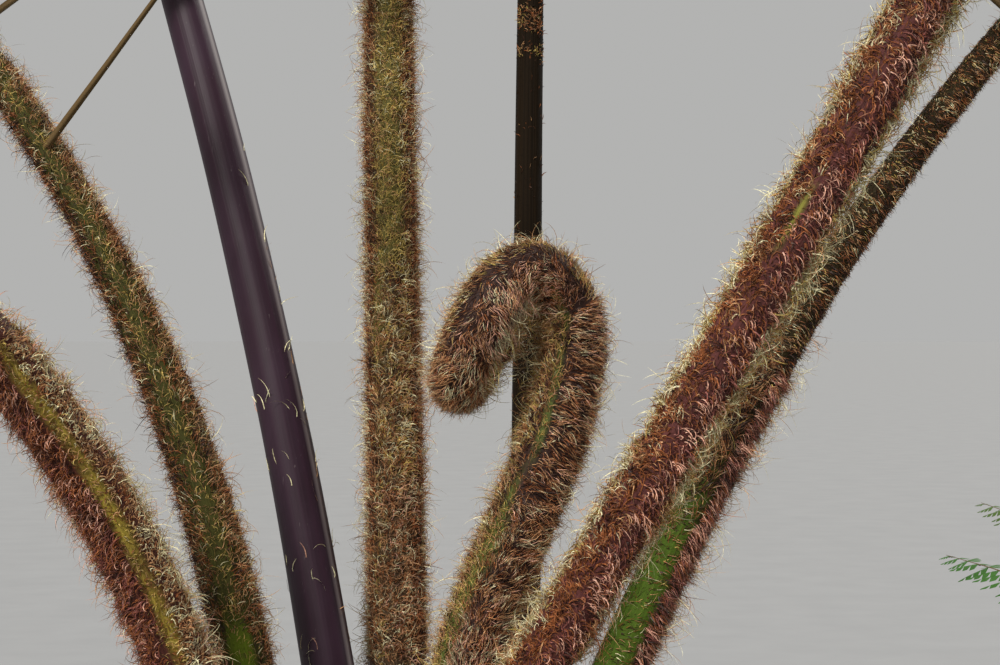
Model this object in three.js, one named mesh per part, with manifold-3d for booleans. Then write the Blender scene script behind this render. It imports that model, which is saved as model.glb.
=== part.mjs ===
// A tree fern: a fibrous trunk with old stalk stubs, arching fronds on hairy stalks, and a crozier.
// Millimetres, +Z up. The origin is the middle of the flat cut under the trunk, at ground level.
import * as THREE from "three";
import { mergeVertices } from "three/addons/utils/BufferGeometryUtils.js";
import Module from "manifold-3d";

const wasm = await Module();
wasm.setup();

// Driving dimensions
const CROWN_HEIGHT = 1250; // level at which the stalks leave the trunk's head
const SEAT_GAP = 0.3; // running clearance between pieces that touch
const ROOT_DEPTH = 28; // how far a stalk reaches down into the head before it is cut to it
const PATH_STEP = 10; // integration step along a frond
const STALK_SIDES = 8;
const STALK_STEPS = 7;
const GOLDEN_ANGLE = 137.5; // degrees between one old stalk and the next round the trunk

const TRUNK = {
  sides: 24,
  sway: 16, // sideways bow of the trunk, largest at half height
  rootLobes: 5, // lobes of matted root round the foot
  rootLobeDepth: 14,
  rootLobeFade: 260, // height over which the lobes die out
  // [height, radius] from the foot to the top of the domed head
  profile: [
    [0, 205], [40, 178], [110, 154], [220, 138], [400, 127], [620, 121], [840, 117],
    [1040, 115], [1150, 117], [1205, 118], [1235, 108], [1258, 84], [1272, 50],
  ],
  top: 1280,
  headFrom: 1200, // above this level the profile closes in to a dome
};

const STUBS = {
  count: 20,
  lowest: 820, // height of the lowest stub's root
  highest: 1128,
  length: 78,
  rootRadius: 15,
  tipRadius: 10,
  rise: 52, // degrees above the horizontal
  sunk: 26,
  sides: 6,
};

const BLADE = {
  pairs: 13, // pairs of leaflets that one frond's outline is cut into
  split: 6, // the blade is parted after this many pairs, where the frond bends
  thickness: 4,
  widest: 360, // longest leaflet
  startShare: 0.22, // phase of the width law at the first leaflet
  angle: 76, // degrees between rib and the first leaflet
  angleLoss: 26, // how much further forward the last leaflet points
  rise: 10, // degrees that a leaflet stands above the rib
  sag: 0.09, // share of a leaflet's length that its tip sinks
  midShare: 0.5, // where a leaflet's outline turns in to its tip
  midWidth: 0.42, // half width there, as a share of the leaflet's root width
  tipMargin: 0.035, // share of the blade that is bare rib at the tip
  ridge: 0.9, // how far the rib stands off the blade, above and below, as a share of its half width
  leastRidge: 3,
};

// Leaflets of two fronds stay this far apart. A crowded one is shortened to the first share that fits,
// or left out.
const CLEARANCE = 46;
const LENGTH_TRIES = [1, 0.8, 0.62, 0.45];
const RIB_SAMPLE_STEP = 40;
const LEAFLET_SAMPLES = { reaches: [0.2, 0.45, 0.7, 0.92], sides: [-0.8, 0, 0.8] };

// Fronds that rise through the middle of the crown. Base x and y at the crown height, azimuth of the plane
// that a frond arches in (0 is +X, 90 is +Y), lean from the vertical at the base, bend in degrees a metre along
// the stalk, and lean at the tip.
const RISING = [
  {
    name: "left_front", x: -67, y: -48, azimuth: 220, lean: 6, bend: 146,
    stalk: 440, length: 2080, tip: 122, radius: 15.5,
  },
  {
    name: "left", x: -58, y: -6, azimuth: 166, lean: 1.6, bend: 96,
    stalk: 330, length: 2080, tip: 118, radius: 12.5,
  },
  {
    name: "dark_left", x: -23, y: 34, azimuth: 140, lean: 10.4, bend: 27.8,
    stalk: 450, length: 2150, tip: 84, radius: 12.2,
  },
  {
    name: "centre", x: -7, y: 68, azimuth: 101, lean: 5, bend: 2,
    stalk: 450, length: 2000, tip: 70, radius: 13.4,
  },
  {
    name: "right_front", x: -14.2, y: -60, azimuth: 338, lean: 33.7, bend: -9.6,
    stalk: 450, length: 2150, tip: 92, radius: 15.5,
  },
  {
    name: "right", x: 54.5, y: 34, azimuth: 12, lean: 18.5, bend: 53.7,
    stalk: 375, length: 2120, tip: 108, radius: 12.5,
  },
  {
    name: "dark_back", x: 48.3, y: 82, azimuth: 66, lean: 0.5, bend: 3,
    stalk: 450, length: 2050, tip: 80, radius: 7.5,
  },
  {
    name: "near_right", x: 60, y: -76, azimuth: 311, lean: 60, bend: 30,
    stalk: 430, length: 1950, tip: 126, radius: 13,
  },
];

// Older fronds spread round the rim of the head in two rings.
const RINGS = [
  {
    name: "spread", count: 3, first: 38, spacing: 112, rim: 104, sink: 34,
    lean: 74, bend: 8, stalk: 420, length: 1980, tip: 114, radius: 12.5,
  },
  {
    name: "hanging", count: 7, first: -6, spacing: 360 / 7, rim: 108, sink: 62,
    lean: 80, bend: 34, stalk: 400, length: 1850, tip: 146, radius: 12,
  },
];

const TAPER = {
  bladeShare: 0.74, // radius where the blade begins, over radius at the base
  tipShare: 0.18, // radius at the tip, over radius where the blade begins
  swell: 0.16, // extra radius at the very base
  swellLength: 60,
};
const TIP_EASE = 1.5; // how early in the blade its bend falls off

const CROZIER = {
  // centre line of the young frond above the crown height: up its stalk, over the hook, in behind it as a coil
  path: [
    [4, 0, -28], [18, 0, 72], [30, 0, 118], [47, 0, 160], [61, 0, 196], [68, 0, 230],
    [65, -3, 248], [54, -8, 261], [41, -15, 258], [31, -20, 245], [24, -19, 230], [20.5, -10, 218],
    [21, 4, 214], [28, 15, 225], [36, 18, 240],
  ],
  coilFrom: 0.64, // share of the centre line at which the hook begins
  gapShare: 0.001, // share of the centre line left open between stalk and hook
  sides: 10,
  stalkSteps: 12,
  coilSteps: 18,
  radii: [14.5, 13.2, 9.5], // at the foot, where the hook begins and at the inner end
  eye: { at: [33, -1, 237], radius: 13 }, // ball that fills the middle of the coil
};

const BUDS = [
  { x: 36, y: -24, height: 62, radius: 11 },
  { x: -33, y: -36, height: 50, radius: 9 },
];
// [share of the radius, share of the height] of a bud's outline
const BUD_OUTLINE = [
  [0, 0], [0.75, 0], [0.72, 0.4], [0.9, 0.62], [1, 0.78], [0.8, 0.93], [0, 1],
];
const BUD_SIDES = 9;

const radians = THREE.MathUtils.degToRad;

const bark = new THREE.MeshStandardMaterial({ color: 0x4a3424, roughness: 0.95, metalness: 0 });
const hairyStalk = new THREE.MeshStandardMaterial({ color: 0x7a4e32, roughness: 0.9, metalness: 0 });
const smoothStalk = new THREE.MeshStandardMaterial({ color: 0x3a2530, roughness: 0.45, metalness: 0 });
const leaf = new THREE.MeshStandardMaterial({ color: 0x4c7a2a, roughness: 0.6, metalness: 0 });

// A closed geometry as a solid that can be joined and cut.
function solidOf(geometry) {
  const bare = geometry.clone();
  bare.deleteAttribute("normal");
  bare.deleteAttribute("uv");
  const merged = mergeVertices(bare, 1e-3);
  return new wasm.Manifold(
    new wasm.Mesh({
      numProp: 3,
      vertProperties: merged.attributes.position.array,
      triVerts: new Uint32Array(merged.index.array),
    }),
  );
}

// The solid's surface as a geometry again.
function geometryOf(solid) {
  const mesh = solid.getMesh();
  const geometry = new THREE.BufferGeometry();
  geometry.setAttribute("position", new THREE.BufferAttribute(mesh.vertProperties, 3));
  geometry.setIndex(new THREE.BufferAttribute(mesh.triVerts, 1));
  geometry.computeVertexNormals();
  return geometry;
}

function named(name, geometry, material) {
  const mesh = new THREE.Mesh(geometry, material);
  mesh.name = name;
  return mesh;
}

// Sideways bow of the trunk's axis at a height.
function trunkSway(z) {
  return TRUNK.sway * Math.sin((Math.PI * Math.min(z, CROWN_HEIGHT)) / CROWN_HEIGHT);
}

// The trunk as a turned form with root lobes at its foot. grow thickens it all round.
function trunkGeometry(grow) {
  const outline = [new THREE.Vector2(0, 0)];
  for (const [z, r] of TRUNK.profile) {
    outline.push(new THREE.Vector2(r + grow, z > TRUNK.headFrom ? z + grow : z));
  }
  outline.push(new THREE.Vector2(0, TRUNK.top + grow));
  const geometry = new THREE.LatheGeometry(outline, TRUNK.sides);
  geometry.rotateX(Math.PI / 2);
  const position = geometry.attributes.position;
  for (let i = 0; i < position.count; i++) {
    const x = position.getX(i);
    const y = position.getY(i);
    const z = position.getZ(i);
    const fade = Math.max(0, 1 - z / TRUNK.rootLobeFade) ** 2;
    const lobe = TRUNK.rootLobeDepth * fade * Math.cos(TRUNK.rootLobes * Math.atan2(y, x));
    const radius = Math.hypot(x, y);
    const scale = radius > 1 ? (radius + lobe) / radius : 1;
    position.setXYZ(i, x * scale + trunkSway(z), y * scale, z);
  }
  return geometry;
}

// Radius of the trunk at a height, read off its profile.
function trunkRadius(z) {
  const above = TRUNK.profile.findIndex(([height]) => height >= z);
  const [z0, r0] = TRUNK.profile[above - 1];
  const [z1, r1] = TRUNK.profile[above];
  return THREE.MathUtils.mapLinear(z, z0, z1, r0, r1);
}

// Stubs of shed stalks stand out of the upper trunk along a golden-angle spiral.
function stubGeometry(index) {
  const share = index / (STUBS.count - 1);
  const z = THREE.MathUtils.lerp(STUBS.lowest, STUBS.highest, share);
  const turn = radians(GOLDEN_ANGLE * index);
  const geometry = new THREE.CylinderGeometry(STUBS.tipRadius, STUBS.rootRadius, STUBS.length, STUBS.sides);
  geometry.translate(0, STUBS.length / 2 - STUBS.sunk, 0);
  geometry.rotateZ(radians(STUBS.rise - 90));
  geometry.rotateX(Math.PI / 2);
  geometry.rotateZ(turn);
  const radius = trunkRadius(z);
  geometry.translate(radius * Math.cos(turn) + trunkSway(z), radius * Math.sin(turn), z);
  return geometry;
}

function trunkSolid() {
  let solid = solidOf(trunkGeometry(0));
  for (let i = 0; i < STUBS.count; i++) solid = solid.add(solidOf(stubGeometry(i)));
  return solid;
}

// Every frond of the crown, rings worked out from their spacing.
function allFronds() {
  const fronds = [...RISING];
  for (const ring of RINGS) {
    for (let i = 0; i < ring.count; i++) {
      const azimuth = ring.first + ring.spacing * i;
      const turn = radians(azimuth);
      fronds.push({
        ...ring,
        name: `${ring.name}_${i + 1}`,
        azimuth,
        x: ring.rim * Math.cos(turn),
        y: ring.rim * Math.sin(turn),
        z: -ring.sink,
      });
    }
  }
  return fronds;
}

// Lean from the vertical, in degrees, at a distance along a frond: an even bend in the stalk, then an easing
// one to the tip.
function leanAt(frond, s) {
  if (s <= frond.stalk) return frond.lean + frond.bend * (s / 1000);
  const atBlade = frond.lean + frond.bend * (frond.stalk / 1000);
  const share = (s - frond.stalk) / (frond.length - frond.stalk);
  return atBlade + (frond.tip - atBlade) * (1 - (1 - share) ** TIP_EASE);
}

// The frond's centre line, stepped from its base, with a lookup of place and directions by distance.
class FrondPath {
  constructor(frond) {
    this.frond = frond;
    const turn = radians(frond.azimuth);
    this.outward = new THREE.Vector3(Math.cos(turn), Math.sin(turn), 0);
    this.side = new THREE.Vector3(-Math.sin(turn), Math.cos(turn), 0);
    this.points = [new THREE.Vector3(frond.x, frond.y, CROWN_HEIGHT + (frond.z ?? 0))];
    for (let s = 0; s < frond.length; s += PATH_STEP) {
      const last = this.points[this.points.length - 1];
      this.points.push(last.clone().addScaledVector(this.tangent(s + PATH_STEP / 2), PATH_STEP));
    }
  }

  tangent(s) {
    const lean = radians(leanAt(this.frond, Math.max(0, s)));
    return this.outward.clone().multiplyScalar(Math.sin(lean)).add(new THREE.Vector3(0, 0, Math.cos(lean)));
  }

  // Direction square to the blade, off its lower face.
  normal(s) {
    return this.tangent(s).cross(this.side).negate();
  }

  place(s) {
    if (s < 0) return this.points[0].clone().addScaledVector(this.tangent(0), s);
    const cell = Math.min(s / PATH_STEP, this.points.length - 1.001);
    const index = Math.floor(cell);
    return this.points[index].clone().lerp(this.points[index + 1], cell - index);
  }
}

// Half width of the stalk or rib at a distance along the frond.
function ribRadius(frond, s) {
  if (s <= frond.stalk) {
    const up = Math.max(0, s);
    const taper = THREE.MathUtils.lerp(1, TAPER.bladeShare, up / frond.stalk);
    return frond.radius * taper * (1 + TAPER.swell * Math.max(0, 1 - up / TAPER.swellLength));
  }
  const share = (s - frond.stalk) / (frond.length - frond.stalk);
  return frond.radius * TAPER.bladeShare * THREE.MathUtils.lerp(1, TAPER.tipShare, share);
}

// A unit cylinder bent along a centre line: place(share) and radius(share) run from 0 to 1.
function tubeAlong(steps, sides, place, radius) {
  const geometry = new THREE.CylinderGeometry(1, 1, 1, sides, steps);
  const position = geometry.attributes.position;
  const rings = [];
  let across = null;
  for (let k = 0; k <= steps; k++) {
    const share = k / steps;
    const small = 0.002;
    const ahead = place(Math.min(1, share + small)).sub(place(Math.max(0, share - small))).normalize();
    if (!across) across = Math.abs(ahead.x) < 0.9 ? new THREE.Vector3(1, 0, 0) : new THREE.Vector3(0, 1, 0);
    across = across.addScaledVector(ahead, -across.dot(ahead)).normalize();
    rings.push({ at: place(share), u: across.clone(), v: across.clone().cross(ahead), r: radius(share) });
  }
  for (let i = 0; i < position.count; i++) {
    const ring = rings[Math.round((position.getY(i) + 0.5) * steps)];
    const at = ring.at
      .clone()
      .addScaledVector(ring.u, position.getX(i) * ring.r)
      .addScaledVector(ring.v, position.getZ(i) * ring.r);
    position.setXYZ(i, at.x, at.y, at.z);
  }
  return geometry;
}

// Distance along the frond at which leaflet k's root begins.
function rootAt(frond, k) {
  return frond.stalk + ((frond.length - frond.stalk) * (1 - BLADE.tipMargin) * k) / BLADE.pairs;
}

// One leaflet: outline points on the blade's middle surface, root first, and the direction of its thickness.
function leafletOutline(path, k, sign, lengthShare) {
  const frond = path.frond;
  const start = rootAt(frond, k);
  const end = rootAt(frond, k + 1);
  const middle = (start + end) / 2;
  const share = (middle - frond.stalk) / (frond.length - frond.stalk);
  const phase = BLADE.startShare + (1 - BLADE.startShare) * share;
  const length = lengthShare * BLADE.widest * Math.sin(Math.PI * phase);
  const angle = radians(BLADE.angle - BLADE.angleLoss * share);
  const rise = radians(BLADE.rise);
  const tangent = path.tangent(middle);
  const normal = path.normal(middle);
  const outward = tangent
    .clone()
    .multiplyScalar(Math.cos(angle))
    .addScaledVector(path.side, sign * Math.sin(angle) * Math.cos(rise))
    .addScaledVector(normal, -Math.sin(angle) * Math.sin(rise));
  const at = (reach, along) =>
    path
      .place(middle)
      .addScaledVector(path.side, sign * ribRadius(frond, middle))
      .addScaledVector(outward, length * reach)
      .addScaledVector(tangent, along)
      .add(new THREE.Vector3(0, 0, -BLADE.sag * length * reach * reach));
  const halfMid = (end - start) * BLADE.midWidth;
  return {
    midA: at(BLADE.midShare, -halfMid),
    midB: at(BLADE.midShare, halfMid),
    tip: at(1, 0),
    normal,
    samples: LEAFLET_SAMPLES.reaches.flatMap((reach) =>
      LEAFLET_SAMPLES.sides.map((side) => at(reach, side * halfMid * Math.min(1, 2 * (1 - reach)))),
    ),
  };
}

// Lengths of all leaflets, so that no leaflet comes near another frond's rib or leaflets: 0 leaves one out.
function fitLeaflets(paths) {
  const taken = paths.map((path) => {
    const points = [];
    for (let s = RIB_SAMPLE_STEP / 2; s < path.frond.length; s += RIB_SAMPLE_STEP) points.push(path.place(s));
    return points;
  });
  const isClear = (owner, samples) =>
    taken.every(
      (points, other) =>
        other === owner ||
        points.every((p) => samples.every((q) => p.distanceToSquared(q) > CLEARANCE ** 2)),
    );
  return paths.map((path, owner) => {
    const lengths = {};
    for (let k = 0; k < BLADE.pairs; k++) {
      for (const sign of [-1, 1]) {
        const fit = LENGTH_TRIES.find((share) =>
          isClear(owner, leafletOutline(path, k, sign, share).samples),
        );
        lengths[`${k},${sign}`] = fit ?? 0;
        if (fit) taken[owner].push(...leafletOutline(path, k, sign, fit).samples);
      }
    }
    return lengths;
  });
}

// A stretch of blade from pair first to pair last: a ridged rib whose edges run out into thin leaflets.
function bladeGeometry(path, lengths, first, last) {
  const frond = path.frond;
  const vertices = [];
  const faces = [];
  const add = (point) => vertices.push(point) - 1;
  const half = BLADE.thickness / 2;
  const rings = [];
  for (let k = first; k <= last; k++) {
    const s = rootAt(frond, k) + (k === first ? SEAT_GAP : 0);
    const at = path.place(s);
    const normal = path.normal(s);
    const radius = ribRadius(frond, s);
    const ridge = Math.max(BLADE.leastRidge, radius * BLADE.ridge);
    const edge = (sign, drop) =>
      at
        .clone()
        .addScaledVector(path.side, sign * radius)
        .addScaledVector(normal, drop);
    rings.push({
      low: { "-1": add(edge(-1, half)), 1: add(edge(1, half)) },
      high: { "-1": add(edge(-1, -half)), 1: add(edge(1, -half)) },
      keel: add(edge(0, ridge)),
      crest: add(edge(0, -ridge)),
    });
  }
  // sign turns a face over, so that both sides of the blade share one rule
  const face = (sign, a, b, c) => faces.push(sign > 0 ? [a, b, c] : [a, c, b]);
  const quad = (sign, a, b, c, d) => {
    face(sign, a, b, c);
    face(sign, a, c, d);
  };
  for (let k = first; k < last; k++) {
    const a = rings[k - first];
    const b = rings[k - first + 1];
    for (const sign of [-1, 1]) {
      quad(sign, a.keel, a.low[sign], b.low[sign], b.keel);
      quad(sign, a.crest, b.crest, b.high[sign], a.high[sign]);
      if (!lengths[`${k},${sign}`]) {
        quad(sign, a.low[sign], a.high[sign], b.high[sign], b.low[sign]);
        continue;
      }
      const shape = leafletOutline(path, k, sign, lengths[`${k},${sign}`]);
      const both = (point) => [
        add(point.clone().addScaledVector(shape.normal, half)),
        add(point.clone().addScaledVector(shape.normal, -half)),
      ];
      const [midALow, midAHigh] = both(shape.midA);
      const [midBLow, midBHigh] = both(shape.midB);
      const [tipLow, tipHigh] = both(shape.tip);
      quad(sign, a.low[sign], midALow, midBLow, b.low[sign]);
      face(sign, midALow, tipLow, midBLow);
      quad(sign, a.high[sign], b.high[sign], midBHigh, midAHigh);
      face(sign, midAHigh, midBHigh, tipHigh);
      quad(sign, a.low[sign], a.high[sign], midAHigh, midALow);
      quad(sign, midALow, midAHigh, tipHigh, tipLow);
      quad(sign, tipLow, tipHigh, midBHigh, midBLow);
      quad(sign, midBLow, midBHigh, b.high[sign], b.low[sign]);
    }
  }
  const cap = (ring, sign) => {
    const loop = [ring.keel, ring.low[1], ring.high[1], ring.crest, ring.high[-1], ring.low[-1]];
    for (let i = 1; i + 1 < loop.length; i++) face(sign, loop[0], loop[i], loop[i + 1]);
  };
  cap(rings[0], -1);
  cap(rings[rings.length - 1], 1);
  const geometry = new THREE.BufferGeometry().setFromPoints(vertices);
  geometry.setIndex(faces.flat());
  geometry.computeVertexNormals();
  return geometry;
}

// A hairy or smooth stalk, from the trunk's head to its first leaflet.
function stalkSolid(path) {
  const { stalk } = path.frond;
  const s = (share) => THREE.MathUtils.lerp(-ROOT_DEPTH, stalk, share);
  return solidOf(
    tubeAlong(
      STALK_STEPS,
      STALK_SIDES,
      (share) => path.place(s(share)),
      (share) => ribRadius(path.frond, s(share)),
    ),
  );
}

// A stretch of the crozier's centre line as a tapering tube.
function crozierTube([from, to], [startRadius, endRadius], steps) {
  const curve = new THREE.CatmullRomCurve3(
    CROZIER.path.map(([x, y, z]) => new THREE.Vector3(x, y, CROWN_HEIGHT + z)),
  );
  return solidOf(
    tubeAlong(
      steps,
      CROZIER.sides,
      (share) => curve.getPointAt(THREE.MathUtils.lerp(from, to, share)),
      (share) => THREE.MathUtils.lerp(startRadius, endRadius, share),
    ),
  );
}

function crozierStalkSolid() {
  const [foot, neck] = CROZIER.radii;
  return crozierTube([0, CROZIER.coilFrom], [foot, neck], CROZIER.stalkSteps);
}

// The hook and coil of the crozier, the eye of the coil filled by a ball.
function coilSolid() {
  const { at, radius } = CROZIER.eye;
  const eye = new THREE.SphereGeometry(radius, 10, 6);
  eye.translate(at[0], at[1], CROWN_HEIGHT + at[2]);
  const [, neck, inner] = CROZIER.radii;
  const coil = crozierTube([CROZIER.coilFrom + CROZIER.gapShare, 1], [neck, inner], CROZIER.coilSteps);
  return coil.add(solidOf(eye));
}

// A small unopened frond in the heart of the crown.
function budSolid(bud) {
  const foot = CROWN_HEIGHT - ROOT_DEPTH;
  const rise = bud.height + ROOT_DEPTH;
  const outline = BUD_OUTLINE.map(([r, z]) => new THREE.Vector2(r * bud.radius, z * rise));
  const geometry = new THREE.LatheGeometry(outline, BUD_SIDES);
  geometry.rotateX(Math.PI / 2);
  geometry.translate(bud.x, bud.y, foot);
  return solidOf(geometry);
}

const fern = new THREE.Group();
fern.add(named("trunk", geometryOf(trunkSolid()), bark));

const seat = solidOf(trunkGeometry(SEAT_GAP));
const seated = (solid) => geometryOf(solid.subtract(seat));

const fronds = allFronds();
const paths = fronds.map((frond) => new FrondPath(frond));
const leafletLengths = fitLeaflets(paths);

paths.forEach((path, i) => {
  const { name } = path.frond;
  const skin = name.startsWith("dark") || name.startsWith("hanging") ? smoothStalk : hairyStalk;
  fern.add(named(`${name}_stalk`, seated(stalkSolid(path)), skin));
  const lengths = leafletLengths[i];
  fern.add(named(`${name}_inner_blade`, bladeGeometry(path, lengths, 0, BLADE.split), leaf));
  fern.add(named(`${name}_outer_blade`, bladeGeometry(path, lengths, BLADE.split, BLADE.pairs), leaf));
});

fern.add(named("crozier_stalk", seated(crozierStalkSolid()), hairyStalk));
fern.add(named("crozier_coil", geometryOf(coilSolid()), hairyStalk));
BUDS.forEach((bud, i) => fern.add(named(`bud_${i + 1}`, seated(budSolid(bud)), hairyStalk)));

export default fern;
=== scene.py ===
"""A tree fern: trunk of matted roots, hairy and smooth stalks, a crozier and lacy fronds.

Lengths are millimetres, as a maker would measure the plant, and only finished meshes are in metres.
Leaflets, ribs, stalks and hair grow from the same centre lines, and every chance value comes from one seed.
"""

import logging
from dataclasses import dataclass, fields, replace
from enum import Enum
from typing import Sequence

import bpy
import numpy as np
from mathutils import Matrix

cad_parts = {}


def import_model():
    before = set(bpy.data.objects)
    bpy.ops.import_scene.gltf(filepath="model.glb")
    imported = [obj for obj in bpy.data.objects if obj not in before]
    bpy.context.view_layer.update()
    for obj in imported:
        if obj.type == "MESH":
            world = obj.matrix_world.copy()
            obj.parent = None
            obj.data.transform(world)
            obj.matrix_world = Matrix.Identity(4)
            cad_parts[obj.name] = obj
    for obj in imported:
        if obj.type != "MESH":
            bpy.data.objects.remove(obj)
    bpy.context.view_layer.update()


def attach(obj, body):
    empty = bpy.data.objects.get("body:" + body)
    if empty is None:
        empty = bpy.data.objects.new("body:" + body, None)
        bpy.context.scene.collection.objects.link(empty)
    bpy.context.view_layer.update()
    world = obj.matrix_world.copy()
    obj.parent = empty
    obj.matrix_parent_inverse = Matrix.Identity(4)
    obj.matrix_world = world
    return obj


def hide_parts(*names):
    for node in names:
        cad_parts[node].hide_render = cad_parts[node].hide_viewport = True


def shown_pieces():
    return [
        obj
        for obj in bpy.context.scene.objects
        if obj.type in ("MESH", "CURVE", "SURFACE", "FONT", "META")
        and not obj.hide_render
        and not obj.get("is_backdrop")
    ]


log = logging.getLogger("tree_fern")

Array = np.ndarray
Mesh = tuple[Array, Array]  # vertices and faces
Pairs = tuple[tuple[float, float], ...]
Color = Triple = tuple[float, float, float]
Object = bpy.types.Object
Material = bpy.types.Material
Socket = bpy.types.NodeSocket

MM = 0.001
UP = np.array([0, 0, 1.0])
AWAY = np.array([0, 1.0, 0])
CROWN_HEIGHT = 1250.0
PATH_STEP = 10.0
ROOT_DEPTH = 28.0
SEED = 7402


# Arrays and meshes


def unit(v: Array) -> Array:
    """Vectors of length one along the last axis."""
    return v / np.maximum(np.linalg.norm(v, axis=-1, keepdims=True), 1e-12)


def level(turn: float | Array) -> Array:
    """Level unit vectors at angles in radians from X towards Y."""
    return np.stack([np.cos(turn), np.sin(turn), np.zeros_like(turn)], -1)


def read(pairs: Pairs, at: Array) -> Array:
    """Values at places, read between pairs of (place, value)."""
    return np.interp(at, *np.array(pairs, float).T)


def run_of(line: Array) -> Array:
    """Each point's distance from the first one, measured along the line."""
    return np.concatenate([[0], np.cumsum(np.linalg.norm(np.diff(line, axis=0), axis=1))])


def repeated(faces: Array, count: int, step: int) -> Array:
    """Faces of a shape's copies that follow each other, each with step vertices."""
    return (faces[None] + np.arange(count)[:, None, None] * step).reshape(-1, faces.shape[1])


def joined(parts: Sequence[Mesh]) -> Mesh:
    """Stacks meshes into one, with the face numbers moved along."""
    starts = np.cumsum([0] + [len(v) for v, _ in parts[:-1]])
    return np.concatenate([v for v, _ in parts]), np.concatenate([f + s for (_, f), s in zip(parts, starts)])


def piece_of(name: str, vertices: Array, faces: Array, uv: Array | None = None) -> Object:
    """Makes a smooth mesh object at the origin from whole arrays.

    Args:
        name: the piece's name.
        vertices: n by 3 places in metres.
        faces: m by 3 or m by 4 vertex numbers.
        uv: one pair for each corner of each face.

    Returns:
        The new object, linked to the scene.
    """
    mesh = bpy.data.meshes.new(name)
    count, sides = faces.shape
    mesh.vertices.add(len(vertices))
    mesh.vertices.foreach_set("co", vertices.astype(np.float32).ravel())
    mesh.loops.add(count * sides)
    mesh.loops.foreach_set("vertex_index", faces.astype(np.int32).ravel())
    mesh.polygons.add(count)
    mesh.polygons.foreach_set("loop_start", np.arange(0, count * sides, sides, dtype=np.int32))
    mesh.update(calc_edges=True)
    mesh.polygons.foreach_set("use_smooth", np.ones(count, bool))
    if uv is not None:
        mesh.uv_layers.new(name="UVMap").data.foreach_set("uv", uv.astype(np.float32).ravel())
    piece = bpy.data.objects.new(name, mesh)
    bpy.context.scene.collection.objects.link(piece)
    return piece


def dress(piece: Object, material: Material, nodes: Sequence[str] = ()) -> None:
    """Gives a piece its finish and its place in the part.

    Args:
        piece: the mesh object.
        material: its finish.
        nodes: the solids that it stands for.
    """
    piece.data.materials.append(material)
    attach(piece, "root")
    if nodes:
        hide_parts(*nodes)
    log.info("%s: %d faces", piece.name, len(piece.data.polygons))


def set_attribute(piece: Object, name: str, values: Array) -> None:
    """Stores a number on each vertex for materials to read, and nought on a tube's two end points.

    Args:
        piece: the mesh object.
        name: the attribute's name.
        values: the numbers of all vertices but the end points.
    """
    ends = np.zeros(len(piece.data.vertices) - len(values))
    layer = piece.data.attributes.new(name, "FLOAT", "POINT")
    layer.data.foreach_set("value", np.concatenate([values, ends]).astype(np.float32))


def ring_faces(rings: int, sides: int) -> Array:
    """Quads between closed rings of points: each point, the next, and the two above them.

    Args:
        rings: how many rings.
        sides: points in a ring.

    Returns:
        The quads.
    """
    k = np.arange((rings - 1) * sides)
    after = k - k % sides + (k + 1) % sides
    return np.stack([k, after, after + sides, k + sides], -1)


def closed_tube(vertices: Array, sides: int, run: Array) -> tuple[Array, Array, Array]:
    """Closes rings of points to a tube, with a middle point at each end and quads that fold to it.

    Args:
        vertices: the points in millimetres, ring by ring.
        sides: points in a ring, an even number.
        run: each ring's distance along the tube.

    Returns:
        Vertices in metres, quads, and the corners' uv: turns round the tube, and metres along it.
    """
    v = vertices * MM
    last = len(v) - sides
    j = np.arange(0, sides, 2)
    low = np.stack([np.full(len(j), len(v)), (j + 2) % sides, j + 1, j], -1)
    high = np.stack([np.full(len(j), len(v) + 1), last + j, last + j + 1, last + (j + 2) % sides], -1)
    i, j = np.divmod(np.arange(last), sides)
    along = run[np.stack([i, i, i + 1, i + 1], -1)] * MM
    uv = np.stack([np.stack([j, j + 1, j + 1, j], -1) / sides, along], -1)
    uv = np.concatenate([uv, np.zeros((sides, 4, 2))])
    v = np.concatenate([v, [v[:sides].mean(0), v[last:].mean(0)]])
    return v, np.concatenate([ring_faces(len(run), sides), low, high]), uv


def swept(centre: Array, across: Array, lift: Array, radius: Array, sides: int) -> Array:
    """Rings of points: centre + radius * (cos(a) * across + sin(a) * lift) at even angles a.

    Args:
        centre: n by 3 ring centres.
        across: n by 3 unit vectors for angle 0.
        lift: n by 3 unit vectors for angle 90.
        radius: n radii, or n by sides.
        sides: points in a ring.

    Returns:
        n * sides by 3 points, ring by ring.
    """
    a = np.linspace(0, 2 * np.pi, sides, endpoint=False)
    r = radius[:, None] if radius.ndim == 1 else radius
    ring = across[:, None] * np.cos(a)[None, :, None] + lift[:, None] * np.sin(a)[None, :, None]
    return (centre[:, None] + r[..., None] * ring).reshape(-1, 3)


def even_spline(points: Sequence[Triple], count: int, fine: int = 900) -> Array:
    """Places at even distances along a smooth curve through points.

    The curve's pieces are cubic, and its slope at a point is half the step between the point's neighbours.

    Args:
        points: places to pass through.
        count: how many places to give.
        fine: how many places measure the curve's length.

    Returns:
        count by 3 places.
    """
    p = np.array(points, float)
    p = np.concatenate([2 * p[:1] - p[1:2], p, 2 * p[-1:] - p[-2:-1]])
    cell = np.clip(np.linspace(0, 1, fine) * (len(points) - 1), 0, len(points) - 1 - 1e-9)
    i = cell.astype(int)
    t = (cell - i)[:, None]
    a, b, c, d = (p[i + k] for k in range(4))
    curve = 0.5 * (2 * b + (c - a) * t + (2 * a - 5 * b + 4 * c - d) * t**2 + (3 * b - a - 3 * c + d) * t**3)
    run = run_of(curve)
    return np.stack([np.interp(np.linspace(0, run[-1], count), run, curve[:, k]) for k in range(3)], -1)


# Finishes


def shade(color: Color, factor: float) -> Color:
    """A colour made lighter or darker."""
    return tuple(min(1.0, c * factor) for c in color)


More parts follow.
